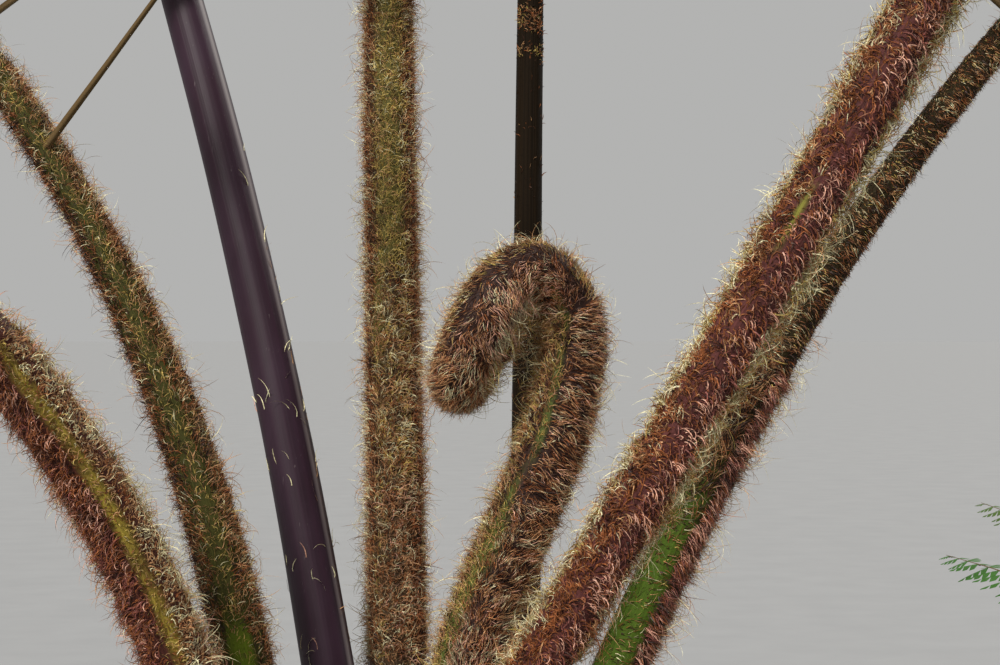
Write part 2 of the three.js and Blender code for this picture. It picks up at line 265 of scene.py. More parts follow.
class Nodes:
    """Short hand for wiring a material's nodes."""

    def __init__(self, name: str) -> None:
        """Starts a material with one Principled shader.

        Args:
            name: the material's name.
        """
        self.material = bpy.data.materials.new(name)
        self.material.use_nodes = True
        self.tree = self.material.node_tree
        self.shader = self.tree.nodes["Principled BSDF"]

    def put(self, node: bpy.types.Node, key: str | int, value: object) -> None:
        """Links a socket to a node's input, or sets the input.

        Args:
            node: the node.
            key: the input's name or number.
            value: a socket, a number or a colour.
        """
        if isinstance(value, Socket):
            self.tree.links.new(value, node.inputs[key])
        else:
            node.inputs[key].default_value = (*value, 1) if node.inputs[key].type == "RGBA" else value

    def add(
        self, kind: str, inputs: dict[str | int, object], output: str | int = 0, **settings: object,
    ) -> Socket:
        """Adds a node.

        Args:
            kind: the node's type name after ShaderNode.
            inputs: what goes into each input that isn't left alone.
            output: name or number of the output that counts.
            settings: the node's own properties.

        Returns:
            That output.
        """
        node = self.tree.nodes.new("ShaderNode" + kind)
        for key, value in settings.items():
            setattr(node, key, value)
        for key, value in inputs.items():
            self.put(node, key, value)
        return node.outputs[output]

    def noise(
        self, scale: float, detail: float, rough: float = 0.55, stretch: Triple = (1, 1, 1),
        source: str = "Object",
    ) -> Socket:
        """Noise from 0 to 1.

        Args:
            scale: how fine it is.
            detail: how many finer layers it has.
            rough: how much these count.
            stretch: its fineness along each axis.
            source: the coordinates that it reads.

        Returns:
            The noise value.
        """
        spot = self.add("Mapping", {"Vector": self.add("TexCoord", {}, source), "Scale": stretch})
        inputs = {"Vector": spot, "Scale": scale, "Detail": detail, "Roughness": rough}
        return self.add("TexNoise", inputs, "Fac")

    def ramp(self, value: Socket, *stops: tuple[float, Color]) -> Socket:
        """Colours looked up from a value.

        Args:
            value: what to look up.
            stops: places on the ramp and their colours.

        Returns:
            The colour.
        """
        color = self.add("ValToRGB", {0: value})
        elements = color.node.color_ramp.elements
        for element, (place, stop) in zip(elements, (stops[0], stops[-1])):
            element.position = place
            element.color = (*stop, 1)
        for place, stop in stops[1:-1]:
            elements.new(place).color = (*stop, 1)
        return color

    def tones(self, value: Socket, color: Color, *stops: tuple[float, float]) -> Socket:
        """Shades of one colour looked up from a value, by stops of (place, factor)."""
        return self.ramp(value, *((place, shade(color, factor)) for place, factor in stops))

    def mix(self, share: Socket, a: Socket | Color, b: Socket | Color) -> Socket:
        """Colour a where share is 0 and b where it is 1."""
        return self.add("Mix", {0: share, 6: a, 7: b}, 2, data_type="RGBA")

    def spots(self, color: Socket, other: Color, value: Socket, *stops: tuple[float, float]) -> Socket:
        """Blends another colour in by a share looked up from a value, by stops of (place, share)."""
        return self.mix(self.ramp(value, *((place, (share,) * 3) for place, share in stops)), color, other)

    def spread(self, value: Socket, low: float, high: float) -> Socket:
        """Stretches a value from 0 to 1 over another span."""
        return self.add("MapRange", {"Value": value, "To Min": low, "To Max": high})

    def bump(self, height: Socket, strength: float, distance: float) -> None:
        """Raises the surface's shading by a height."""
        relief = self.add("Bump", {"Height": height, "Strength": strength, "Distance": distance})
        self.put(self.shader, "Normal", relief)

    def finish(self, color: Socket, roughness: Socket | float, shine: float, **sockets: float) -> Material:
        """Fills the shader's sockets.

        Args:
            color: the base colour.
            roughness: how dull the gloss is.
            shine: how strong it is.
            sockets: other sockets by name.

        Returns:
            The material.
        """
        found = {"Base Color": color, "Roughness": roughness, "Specular IOR Level": shine, **sockets}
        for key, value in found.items():
            self.put(self.shader, key.replace("_", " "), value)
        return self.material


@dataclass(frozen=True)
class HairFinish:
    """Dry curly hair of one shade."""

    name: str
    color: Color

    def material(self) -> Material:
        """Noise from tuft to tuft times noise from hair to hair.

        Returns:
            The material.
        """
        n = Nodes(self.name)
        tufts = n.tones(n.noise(160, 2), self.color, (0.3, 0.6), (0.7, 1.4))
        hairs = n.ramp(n.noise(1400, 2), (0.3, (0.42,) * 3), (0.7, (1.55,) * 3))
        color = n.add("Mix", {0: 1.0, 6: tufts, 7: hairs}, 2, data_type="RGBA", blend_type="MULTIPLY")
        return n.finish(color, 0.5, 0.3, Sheen_Weight=0.08, Sheen_Roughness=0.4)


@dataclass(frozen=True)
class LeafFinish:
    """Thin satin leaf of one green."""

    name: str
    color: Color

    def material(self) -> Material:
        """Slow patches of lighter and darker green, and a fine mottling that also roughens the gloss.

        Returns:
            The material.
        """
        n = Nodes(self.name)
        fine = n.noise(260, 3)
        color = n.tones(n.noise(9, 3), self.color, (0.3, 0.72), (0.7, 1.25))
        color = n.spots(color, shade(self.color, 1.5), fine, (0.45, 0), (0.75, 0.4))
        n.bump(fine, 0.2, 0.0006)
        return n.finish(color, n.spread(fine, 0.5, 0.7), 0.25)


@dataclass(frozen=True)
class SkinFinish:
    """A stalk's skin under its hair: brown, with green where the attribute named green is near one."""

    name: str
    brown: Color
    green: Color
    shine: float = 0.22

    def material(self) -> Material:
        """Streaks along the stalk, dark pores, and small scales on the green.

        Returns:
            The material.
        """
        n = Nodes(self.name)
        streak = n.noise(1, 5, stretch=(60, 5, 1), source="UV")
        brown = n.tones(streak, self.brown, (0.3, 0.5), (0.55, 1), (0.8, 1.7))
        green = n.tones(streak, self.green, (0.25, 0.6), (0.6, 1), (0.85, 1.5))
        green = n.spots(green, shade(self.brown, 1.5), n.noise(240, 3, 0.7), (0.6, 0), (0.66, 0.85))
        color = n.mix(n.add("Attribute", {}, "Fac", attribute_name="green"), brown, green)
        color = n.spots(color, shade(self.brown, 0.35), n.noise(900, 2), (0.25, 0.5), (0.45, 0))
        n.bump(streak, 0.5, 0.0012)
        return n.finish(color, 0.6, self.shine)


@dataclass(frozen=True)
class SmoothFinish:
    """A dark smooth stalk with a waxy bloom, and a pale line, partly painted reflection, where the attribute
    named line is near one.
    """

    name: str
    dark: Color
    bloom: Color
    # colour of the small scratches, and of the pale line, which is partly painted reflection
    line: Color

    def material(self) -> Material:
        """Long faint streaks, the bloom in patches, small scratches, and the pale line, which is partly
        painted reflection.

        Returns:
            The material.
        """
        n = Nodes(self.name)
        streak = n.noise(1, 5, stretch=(26, 2.2, 1), source="UV")
        color = n.tones(streak, self.dark, (0.3, 0.7), (0.75, 1.35))
        color = n.spots(color, self.bloom, n.noise(60, 3, stretch=(1, 1, 0.35)), (0.4, 0), (0.75, 0.5))
        color = n.spots(color, self.line, n.noise(1, 3, stretch=(900, 900, 60)), (0.68, 0), (0.78, 0.22))
        # pale line on the right side as seen: partly the stalk's own line, partly painted reflection
        color = n.mix(n.add("Attribute", {}, "Fac", attribute_name="line"), color, self.line)
        n.bump(streak, 0.35, 0.0008)
        return n.finish(color, n.spread(streak, 0.44, 0.58), 0.3)


@dataclass(frozen=True)
class FibreFinish:
    """Matted dark root fibre, streaked down the trunk."""

    name: str
    dark: Color
    pale: Color

    def material(self) -> Material:
        """Stretched noise for colour and relief, with darker patches.

        Returns:
            The material.
        """
        n = Nodes(self.name)
        fibre = n.noise(220, 6, 0.65, stretch=(1, 1, 0.12))
        color = n.ramp(fibre, (0.3, shade(self.dark, 0.5)), (0.52, self.dark), (0.75, self.pale))
        color = n.spots(color, shade(self.dark, 0.8), n.noise(14, 4), (0.45, 0), (0.75, 0.6))
        n.bump(fibre, 0.9, 0.004)
        return n.finish(color, 0.92, 0.2)


class Tint(Enum):
    """Shades of stalk hair, dark to pale; pink and cream are partly painted highlight."""

    DARK = HairFinish("hair_dark", (0.045, 0.017, 0.01))
    MAUVE = HairFinish("hair_mauve", (0.24, 0.078, 0.06))
    RUST = HairFinish("hair_rust", (0.29, 0.094, 0.03))
    TAN = HairFinish("hair_tan", (0.5, 0.27, 0.125))
    GOLD = HairFinish("hair_gold", (0.5, 0.36, 0.1))
    # pink: partly the hair's own pinkish beige, partly painted highlight on lit tufts
    PINK = HairFinish("hair_pink_and_highlight", (0.7, 0.38, 0.27))
    # cream: partly the hair's own pale colour, partly painted highlight on hair tips and painted rim light on
    # edge hairs
    CREAM = HairFinish("hair_cream_and_highlight", (0.84, 0.68, 0.42))


class Green(Enum):
    """Shades of leaf, dealt out leaflet by leaflet."""

    DEEP = LeafFinish("leaf_deep", (0.018, 0.075, 0.008))
    FERN = LeafFinish("leaf_fern", (0.035, 0.13, 0.01))
    FRESH = LeafFinish("leaf_fresh", (0.085, 0.22, 0.014))
    OLIVE = LeafFinish("leaf_olive", (0.07, 0.13, 0.014))


# the last colour is for the small scratches and for the pale line, which is partly painted reflection
SMOOTH_SKIN = SmoothFinish("smooth_skin", (0.027, 0.009, 0.019), (0.052, 0.025, 0.046), (0.42, 0.36, 0.36))
FAR_COLORS = ((0.1, 0.045, 0.026), (0.12, 0.16, 0.03))


# The frond rule


@dataclass(frozen=True)
class Frond:
    """One frond: base at the crown height, plane it arches in, lean law and size. Angles in degrees."""

    name: str
    x: float
    y: float
    azimuth: float
    lean: float
    bend: float
    stalk: float
    length: float
    tip: float
    radius: float
    z: float = 0.0

    @property
    def smooth(self) -> bool:
        """Whether the stalk is dark and smooth."""
        return self.name.startswith(("dark", "hanging"))


@dataclass(frozen=True)
class Ring:
    """Older fronds like one model, spread evenly round the rim of the head."""

    model: Frond
    count: int
    spacing: float
    rim: float

    def fronds(self) -> list[Frond]:
        """Turns the model round the axis, step by step.

        Returns:
            The ring's fronds.
        """
        made = []
        for i in range(self.count):
            azimuth = self.model.azimuth + self.spacing * i
            x, y, _ = self.rim * level(np.radians(azimuth))
            made.append(replace(self.model, name=f"{self.model.name}_{i + 1}", x=x, y=y, azimuth=azimuth))
        return made


RISING = [
    Frond("left_front", -67, -48, 220, 6, 146, 440, 2080, 122, 15.5),
    Frond("left", -58, -6, 166, 1.6, 96, 330, 2080, 118, 12.5),
    Frond("dark_left", -23, 34, 140, 10.4, 27.8, 450, 2150, 84, 12.2),
    Frond("centre", -7, 68, 101, 5, 2, 450, 2000, 70, 13.4),
    Frond("right_front", -14.2, -60, 338, 33.7, -9.6, 450, 2150, 92, 15.5),
    Frond("right", 54.5, 34, 12, 18.5, 53.7, 375, 2120, 108, 12.5),
    Frond("dark_back", 48.3, 82, 66, 0.5, 3, 450, 2050, 80, 7.5),
    Frond("near_right", 60, -76, 311, 60, 30, 430, 1950, 126, 13),
]
RINGS = [
    Ring(Frond("spread", 0, 0, 38, 74, 8, 420, 1980, 114, 12.5, -34), 3, 112, 104),
    Ring(Frond("hanging", 0, 0, -6, 80, 34, 400, 1850, 146, 12, -62), 7, 360 / 7, 108),
]


@dataclass(frozen=True)
class BladeRule:
    """How a frond's outline is cut into leaflets, as in the solids, and how finely it is dressed."""

    pairs: int = 13
    widest: float = 360.0
    start_share: float = 0.22
    angle: float = 76.0
    angle_loss: float = 26.0
    rise: float = 10.0  # degrees that a leaflet stands above the rib
    sag: float = 0.09
    mid_width: float = 0.42
    tip_margin: float = 0.035
    clearance: float = 46.0
    length_tries: tuple[float, ...] = (1, 0.8, 0.62, 0.45)
    pitch: float = 12.5  # between leaf lobes along a leaflet
    lobe_reach: float = 40.0


BLADE = BladeRule()


@dataclass
class Leaflets:
    """Leaflets of a frond as arrays of the same length: roots, directions and lengths."""

    root: Array
    out: Array
    along: Array
    upper: Array
    length: Array
    bare: Array | None = None  # share with no lobes at the root
    thick: Array | None = None  # of the midrib, against the usual

    def curve(self, at: Array, i: Array) -> Array:
        """Places on midribs, whose tips sweep forward and sink by the square of the share.

        Args:
            at: shares of the leaflets' lengths.
            i: the leaflets' numbers.

        Returns:
            The places.
        """
        length, at = self.length[i, None], at[:, None]
        places = self.root[i] + self.out[i] * length * at + self.along[i] * 0.07 * length * at**2
        return places - UP * BLADE.sag * length * at**2


class FrondPath:
    """A frond's centre line, with directions and half width at distances s from the base."""

    TAPER_AT_BLADE = 0.74
    TAPER_AT_TIP = 0.18
    SWELL = 0.16
    SWELL_LENGTH = 60.0
    TIP_EASE = 1.5

    def __init__(self, frond: Frond) -> None:
        """Steps the centre line from the base by the lean law.

        Args:
            frond: the frond.
        """
        self.frond = frond
        self.outward = level(np.radians(frond.azimuth))
        self.side = np.array([-self.outward[1], self.outward[0], 0.0])
        middles = np.arange(0, frond.length, PATH_STEP) + PATH_STEP / 2
        base = np.array([frond.x, frond.y, CROWN_HEIGHT + frond.z])
        self.points = np.concatenate([[base], base + np.cumsum(self.along(middles) * PATH_STEP, 0)])

    def share(self, s: Array) -> Array:
        """How far along the blade, from 0 where it begins to 1 at the tip."""
        return np.clip((s - self.frond.stalk) / (self.frond.length - self.frond.stalk), 0, 1)

    def along(self, s: Array) -> Array:
        """Directions towards the tip: outward * sin(lean) + up * cos(lean).

        The lean bends evenly in the stalk, and then goes to the tip's by 1 - (1 - share) ** 1.5.

        Args:
            s: distances from the base.

        Returns:
            Unit vectors.
        """
        f, s = self.frond, np.maximum(np.atleast_1d(s), 0)
        at_blade = f.lean + f.bend * np.clip(s, 0, f.stalk) / 1000
        lean = np.radians(at_blade + (f.tip - at_blade) * (1 - (1 - self.share(s)) ** self.TIP_EASE))[:, None]
        return self.outward * np.sin(lean) + UP * np.cos(lean)

    def upper(self, s: Array) -> Array:
        """Unit directions off the upper face."""
        return np.cross(self.along(s), self.side)

    def place(self, s: Array) -> Array:
        """Places on the centre line, which goes straight on below the base.

        Args:
            s: distances from the base.

        Returns:
            n by 3 places.
        """
        s = np.atleast_1d(np.asarray(s, float))
        cell = np.clip(s / PATH_STEP, 0, len(self.points) - 1.001)
        i = cell.astype(int)
        at = self.points[i] + (self.points[i + 1] - self.points[i]) * (cell - i)[:, None]
        return at + self.along(s) * np.minimum(s, 0)[:, None]

    def half_width(self, s: Array) -> Array:
        """Radius of stalk or rib: a straight taper with a swelling at the base, then one to the tip.

        Args:
            s: distances from the base.

        Returns:
            The radii.
        """
        up = np.clip(s, 0, self.frond.stalk)
        stalk = 1 + (self.TAPER_AT_BLADE - 1) * up / self.frond.stalk
        stalk = stalk * (1 + self.SWELL * np.maximum(0, 1 - up / self.SWELL_LENGTH))
        return self.frond.radius * stalk * (1 + (self.TAPER_AT_TIP - 1) * self.share(s))

    def root_at(self, k: float) -> float:
        """Distance at which leaflet k of the solid outline begins."""
        f = self.frond
        return f.stalk + (f.length - f.stalk) * (1 - BLADE.tip_margin) * k / BLADE.pairs

    def leaflets(self, s: Array, sign: Array) -> Leaflets:
        """Leaflets that nothing crowds, whose lengths follow a sine along the blade.

        Args:
            s: distances of their roots.
            sign: the side that each is on, -1 or 1.

        Returns:
            The leaflets.
        """
        share = self.share(s)
        length = BLADE.widest * np.sin(np.pi * (BLADE.start_share + (1 - BLADE.start_share) * share))
        angle = np.radians(BLADE.angle - BLADE.angle_loss * share)[:, None]
        rise = np.radians(BLADE.rise)
        along, upper, side = self.along(s), self.upper(s), self.side * sign[:, None]
        out = along * np.cos(angle) + side * np.sin(angle) * np.cos(rise)
        out = out + upper * np.sin(angle) * np.sin(rise)
        return Leaflets(self.place(s) + side * self.half_width(s)[:, None], out, along, upper, length)

    def probe(self, k: int, sign: int, share: float) -> Array:
        """Points spread over one leaflet of the solid outline, to keep it clear of other fronds.

        Args:
            k: its number from the blade's foot.
            sign: its side.
            share: its length against the full one.

        Returns:
            n by 3 points.
        """
        start, end = self.root_at(k), self.root_at(k + 1)
        one = self.leaflets(np.array([(start + end) / 2]), np.array([float(sign)]))
        spots = np.meshgrid([0.2, 0.45, 0.7, 0.92], [-0.8, 0, 0.8], indexing="ij")
        reach, side = (a.reshape(-1, 1) for a in spots)
        length = share * one.length
        places = one.root + one.out * length * reach
        half = (end - start) * BLADE.mid_width * np.minimum(1, 2 * (1 - reach))
        places = places + one.along * side * half
        return places - UP * BLADE.sag * length * reach**2


Fit = dict[tuple[int, int], float]  # length share of each leaflet by (number, side)


def fitted_leaflets(paths: Sequence[FrondPath]) -> list[Fit]:
    """Shortens or leaves out leaflets, so that none comes near another frond.

    Args:
        paths: all fronds' centre lines.

    Returns:
        Each frond's length shares.
    """
    taken = [p.place(np.arange(20, p.frond.length, 40)) for p in paths]
    fits: list[Fit] = []
    for owner, path in enumerate(paths):
        others = np.concatenate([t for i, t in enumerate(taken) if i != owner])
        fits.append({(k, sign): 0.0 for k in range(BLADE.pairs) for sign in (-1, 1)})
        for k, sign in fits[-1]:
            for share in BLADE.length_tries:
                probe = path.probe(k, sign, share)
                if np.linalg.norm(others[:, None] - probe[None], axis=-1).min() > BLADE.clearance:
                    fits[-1][k, sign] = share
                    taken[owner] = np.concatenate([taken[owner], probe])
                    break
    return fits


# Foliage


@dataclass(frozen=True)
class LeafShape:
    """A flat lobed leaf: pairs of blunt forward lobes along a middle line, with edges and tip turned down."""

    lobes: int = 4
    fold: float = 0.22
    curl: float = 0.12

    def template(self) -> Mesh:
        """A lobe runs from one point of the middle line to the next. Its outer edge follows 1 - along ** 2.2.

        Returns:
            Vertices as (along, across) with across from -1 to 1, and triangles.
        """
        cut = np.linspace(0, 0.92, self.lobes + 1)
        points = [(c, 0.0) for c in cut]
        faces = []
        for sign in (-1, 1):
            for i in range(self.lobes):
                width, edge = cut[i + 1] - cut[i], len(points)
                near, far = cut[i] + 0.42 * width, min(cut[i] + 1.1 * width, 1.0)
                points += [(near, sign * 0.78 * (1 - near**2.2)), (far, sign * (1 - far**2.2))]
                faces += [loop[::-sign] for loop in ((i, edge, edge + 1), (i, edge + 1, i + 1))]
        return np.array(points), np.array(faces)

    def scattered(
        self, root: Array, out: Array, across: Array, upper: Array, size: Array, wide: Array,
    ) -> Mesh:
        """Copies of the leaf.

        A vertex is root + out * a * size + across * b * wide - upper * sink, and its sink is
        fold * |b| * wide + curl * a ** 2 * size.

        Args:
            root, out, across, upper: n by 3 places and unit directions.
            size, wide: n lengths and half widths.

        Returns:
            Vertices in metres and triangles.
        """
        template, triangles = self.template()
        a, b = template[None, :, 0, None], template[None, :, 1, None]
        size, wide = size[:, None, None], wide[:, None, None]
        v = root[:, None] + out[:, None] * a * size + across[:, None] * b * wide
        v = v - upper[:, None] * (self.fold * np.abs(b) * wide + self.curl * a**2 * size)
        return v.reshape(-1, 3) * MM, repeated(triangles, len(root), len(template))


@dataclass
class Foliage:
    """Every leaflet of every frond, its midribs, and its small lobed leaves dealt out in greens.

    missing lists leaflets that a frond lacks on one side up to a distance, as (frond, side, distance).
    """

    paths: list[FrondPath]
    fits: list[Fit]
    rng: np.random.Generator
    bare: float = 0.02  # share of a leaflet with no lobes at its root
    bare_low: float = 125.0  # length with no lobes on the lowest leaflets of a rising frond
    raised_to: float = 0.1  # share of the blade over which the raised lowest leaflets level out
    raise_by: float = 2.0  # how steeply the lowest leaflets of a rising frond stand up
    twig: float = 1.6  # how much thicker their midribs are
    rib: float = 1.3
    missing: tuple[tuple[str, int, float], ...] = (("left", -1, 380), ("right", -1, 430), ("right", 1, 430))
    deal: tuple[float, ...] = (0.28, 0.36, 0.2, 0.16)  # shares of the greens
    fork: float = 72.0  # degrees between a lobe and its leaflet at the leaflet's root
    fork_loss: float = 30.0  # how much smaller the angle is at the tip
    droop: float = 10.0  # degrees that a lobe hangs
    short: float = 220.0  # length below which a leaflet's lobes are smaller too
    least: float = 6.0  # length of the smallest lobe

    def leaflets_of(self, path: FrondPath, fit: Fit) -> Leaflets:
        """Two slightly uneven fine leaflets for each solid one, from its root's lower end and middle.

        Args:
            path: the frond's centre line.
            fit: its solid leaflets' length shares.

        Returns:
            The frond's leaflets.
        """
        rows = []
        for (k, sign), share in fit.items():
            start, end = path.root_at(k), path.root_at(k + 1)
            if share:
                rows += [(start + q * (end - start), sign, share) for q in (0.02, 0.52)]
        for name, side, below in self.missing:
            rows = [r for r in rows if path.frond.name != name or r[1] != side or r[0] > below]
        s, sign, share = np.array(rows).T
        found = path.leaflets(s, sign)
        found.length = found.length * share * self.rng.uniform(0.93, 1.03, len(s))
        jitter = self.rng.normal(0, 0.035, (len(s), 3))
        raised = np.clip(1 - path.share(s) / self.raised_to, 0, 1) * (path.frond in RISING)
        found.out = unit(found.out + jitter + found.upper * self.raise_by * raised[:, None])
        found.bare = np.minimum(np.maximum(self.bare, self.bare_low * raised / found.length), 0.8)
        found.root = found.root - path.side * sign[:, None] * 0.5 * path.half_width(s)[:, None]
        found.thick = np.where(raised > 0, self.twig, 1.0)
        return found

    def lobes_of(self, leaflet: Leaflets, pick: Array) -> Mesh:
        """Lobed leaves at even pitch along both sides of leaflets.

        Their length follows (1 - share) ** 0.45, so a leaflet is a long pointed feather.

        Args:
            leaflet: the frond's leaflets.
            pick: which of them to dress.

        Returns:
            Vertices in metres and triangles.
        """
        bare = leaflet.bare
        counts = np.maximum(4, (leaflet.length * (1 - bare) / BLADE.pitch).astype(int))[pick]
        i = np.repeat(pick, counts)
        j = np.concatenate([np.arange(c) for c in counts])
        share = bare[i] + (1 - bare[i]) * (j + 0.5) / np.repeat(counts, counts)
        i, share, sign = np.tile(i, 2), np.tile(share, 2), np.repeat([-1.0, 1.0], len(j))[:, None]
        root = leaflet.curve(share, i)
        along = unit(leaflet.curve(share + 0.02, i) - root)
        across = unit(np.cross(leaflet.upper[i], along))
        upper = np.cross(along, across)
        angle = np.radians(self.fork - self.fork_loss * share + self.rng.normal(0, 4, len(i)))[:, None]
        droop = np.radians(self.droop + self.rng.normal(0, 7, len(i)))[:, None]
        out = along * np.cos(angle) + across * sign * np.sin(angle) * np.cos(droop)
        out = unit(out - upper * np.sin(angle) * np.sin(droop))
        wide = unit(np.cross(upper, out))
        crowd = np.minimum(1, leaflet.length[i] / self.short)
        size = BLADE.lobe_reach * (0.35 + 0.65 * crowd) * (1 - share) ** 0.45 * np.minimum(1, 0.8 + 2 * share)
        size = np.maximum(size, self.least) * self.rng.uniform(0.9, 1.08, len(i))
        half = np.maximum(0.62 * BLADE.pitch * np.minimum(1, size / 16), 1.6)
        return LeafShape().scattered(root, out, wide, np.cross(out, wide), size, half)

    def midribs(self, leaflet: Leaflets, steps: int = 5, sides: int = 3) -> Mesh:
        """A slim midrib for each leaflet, whose radius follows 1 - 0.85 * share.

        Args:
            leaflet: the leaflets.
            steps: rings in a midrib.
            sides: points in a ring.

        Returns:
            Vertices in metres and quads.
        """
        n = len(leaflet.length)
        at, i = np.tile(np.linspace(0, 0.99, steps), n), np.repeat(np.arange(n), steps)
        centre = leaflet.curve(at, i)
        along = unit(leaflet.curve(at + 0.01, i) - centre)
        across = unit(np.cross(leaflet.upper[i], along))
        thick = self.rib * leaflet.thick[i] * (1 - 0.85 * at) * np.minimum(1, leaflet.length[i] / 250)
        v = swept(centre, across, np.cross(along, across), thick, sides)
        return v * MM, repeated(ring_faces(steps, sides), n, steps * sides)

    def build(self, groups: dict[str, list[int]]) -> None:
        """Makes one piece for each green and group of fronds, and one of midribs for each group.

        Args:
            groups: the fronds' numbers by the group's name.
        """
        for group, members in groups.items():
            names = [self.paths[i].frond.name for i in members]
            blades = [f"{name}_{part}_blade" for name in names for part in ("inner", "outer")]
            leaves: dict[Green, list[Mesh]] = {green: [] for green in Green}
            ribs = []
            for i in members:
                leaflet = self.leaflets_of(self.paths[i], self.fits[i])
                ribs.append(self.midribs(leaflet))
                dealt = self.rng.choice(len(Green), len(leaflet.length), p=self.deal)
                for g, green in enumerate(Green):
                    leaves[green].append(self.lobes_of(leaflet, np.nonzero(dealt == g)[0]))
            for green, found in leaves.items():
                piece = piece_of(f"{group}_{green.value.name}", *joined(found))
                dress(piece, green.value.material(), blades)
            finish = SkinFinish(f"{group}_midrib", (0.16, 0.1, 0.04), (0.16, 0.2, 0.04))
            dress(piece_of(f"{group}_leaflet_midribs", *joined(ribs)), finish.material())


# Hair


@dataclass(frozen=True)
class HairKind:
    """One sort of hair. Angles are in degrees, density is in hairs on a square millimetre."""

    length: float
    width: float
    segments: int
    lift: float  # off the skin at the root
    bend: float  # turned through from root to tip
    unity: float  # share of its bend that a hair has in common with its tuft
    pull: float  # how far a tuft's hairs run together
    density: float
    cell: tuple[float, float] = (6.5, 6.5)  # a tuft's size along and round the limb
    loose: bool = False  # stands off the coat by itself


UNDER = HairKind(3, 0.5, 2, 24, 40, 0.3, 0.2, 0.42)
FRIZZ = HairKind(5.2, 0.28, 3, 36, 130, 0.35, 0.3, 1.3, (4.2, 4.2))
LOCK = HairKind(7.4, 0.36, 4, 38, 185, 0.75, 0.75, 0.85, (6, 5))
COMBED = HairKind(4.8, 0.28, 3, 26, 50, 0.8, 0.55, 1.4, (3.3, 8))
STRAY = HairKind(8.5, 0.21, 6, 62, 230, 0.3, 0, 0.1, loose=True)
THREAD = HairKind(7, 0.19, 3, 52, 60, 0.3, 0, 0.14, loose=True)
WISP = HairKind(8.2, 0.2, 5, 60, 170, 0.8, 0.8, 0.16, (5, 5), loose=True)
FINE = HairKind(4.6, 0.23, 3, 28, 55, 0.75, 0.5, 1.8, (3.3, 8))
CURL = HairKind(11, 0.25, 5, 60, 115, 0.35, 0.25, 0.2, loose=True)
WOOL = HairKind(12, 0.3, 5, 52, 165, 0.65, 0.65, 0.42, (6, 6), loose=True)
SCRAP = HairKind(9, 0.42, 5, 4, 65, 0.2, 0, 0.007)


def blend(recipe: str) -> Array:
    """Shares of the tints in their own order.

    Args:
        recipe: names in small letters, each with its weight, such as rust 3 tan 7.

    Returns:
        Shares that add up to one.
    """
    words = recipe.split()
    weights = dict(zip(words[::2], words[1::2]))
    found = np.array([float(weights.get(tint.name.lower(), 0)) for tint in Tint])
    return found / found.sum()


@dataclass(frozen=True)
class Band:
    """A stretch of coat by angle round the limb from the near side, positive to the right.

    under and over are the tint recipes of the undercoat and of the longer hair, and fill and top their
    densities against a full coat. comb is how the hair lies: (towards the tip, round to the right). low and
    high are distances along the limb.
    """

    start: float
    end: float
    under: str
    over: str
    fill: float = 1.0
    top: float = 1.0
    comb: tuple[float, float] = (0.9, 0.1)
    bow: tuple[float, float] = (0.0, 0.0)  # which way the hair curls over, measured as comb is
    stray: float = 1.0
    lengthen: float = 1.0
    low: float = -1e9
    high: float = 1e9

    def cover(self, kind: HairKind) -> float:
        """The band's density for one kind of hair, against a full coat."""
        return self.fill if kind is UNDER else self.top * (self.stray if kind.loose else 1)


class Rows:
    """Arrays of the same length, one row for each point."""

    def pick(self, rows: Array | slice) -> "Rows":
        """The same record with only some rows."""
        return type(self)(*(getattr(self, part.name)[rows] for part in fields(self)))


@dataclass(frozen=True)
class Strands:
    """Roots of hairs of one kind, with all that shapes them."""

    root: Array
    normal: Array
    way: Array
    toward: Array
    focus: Array
    size: Array
    tint: Array


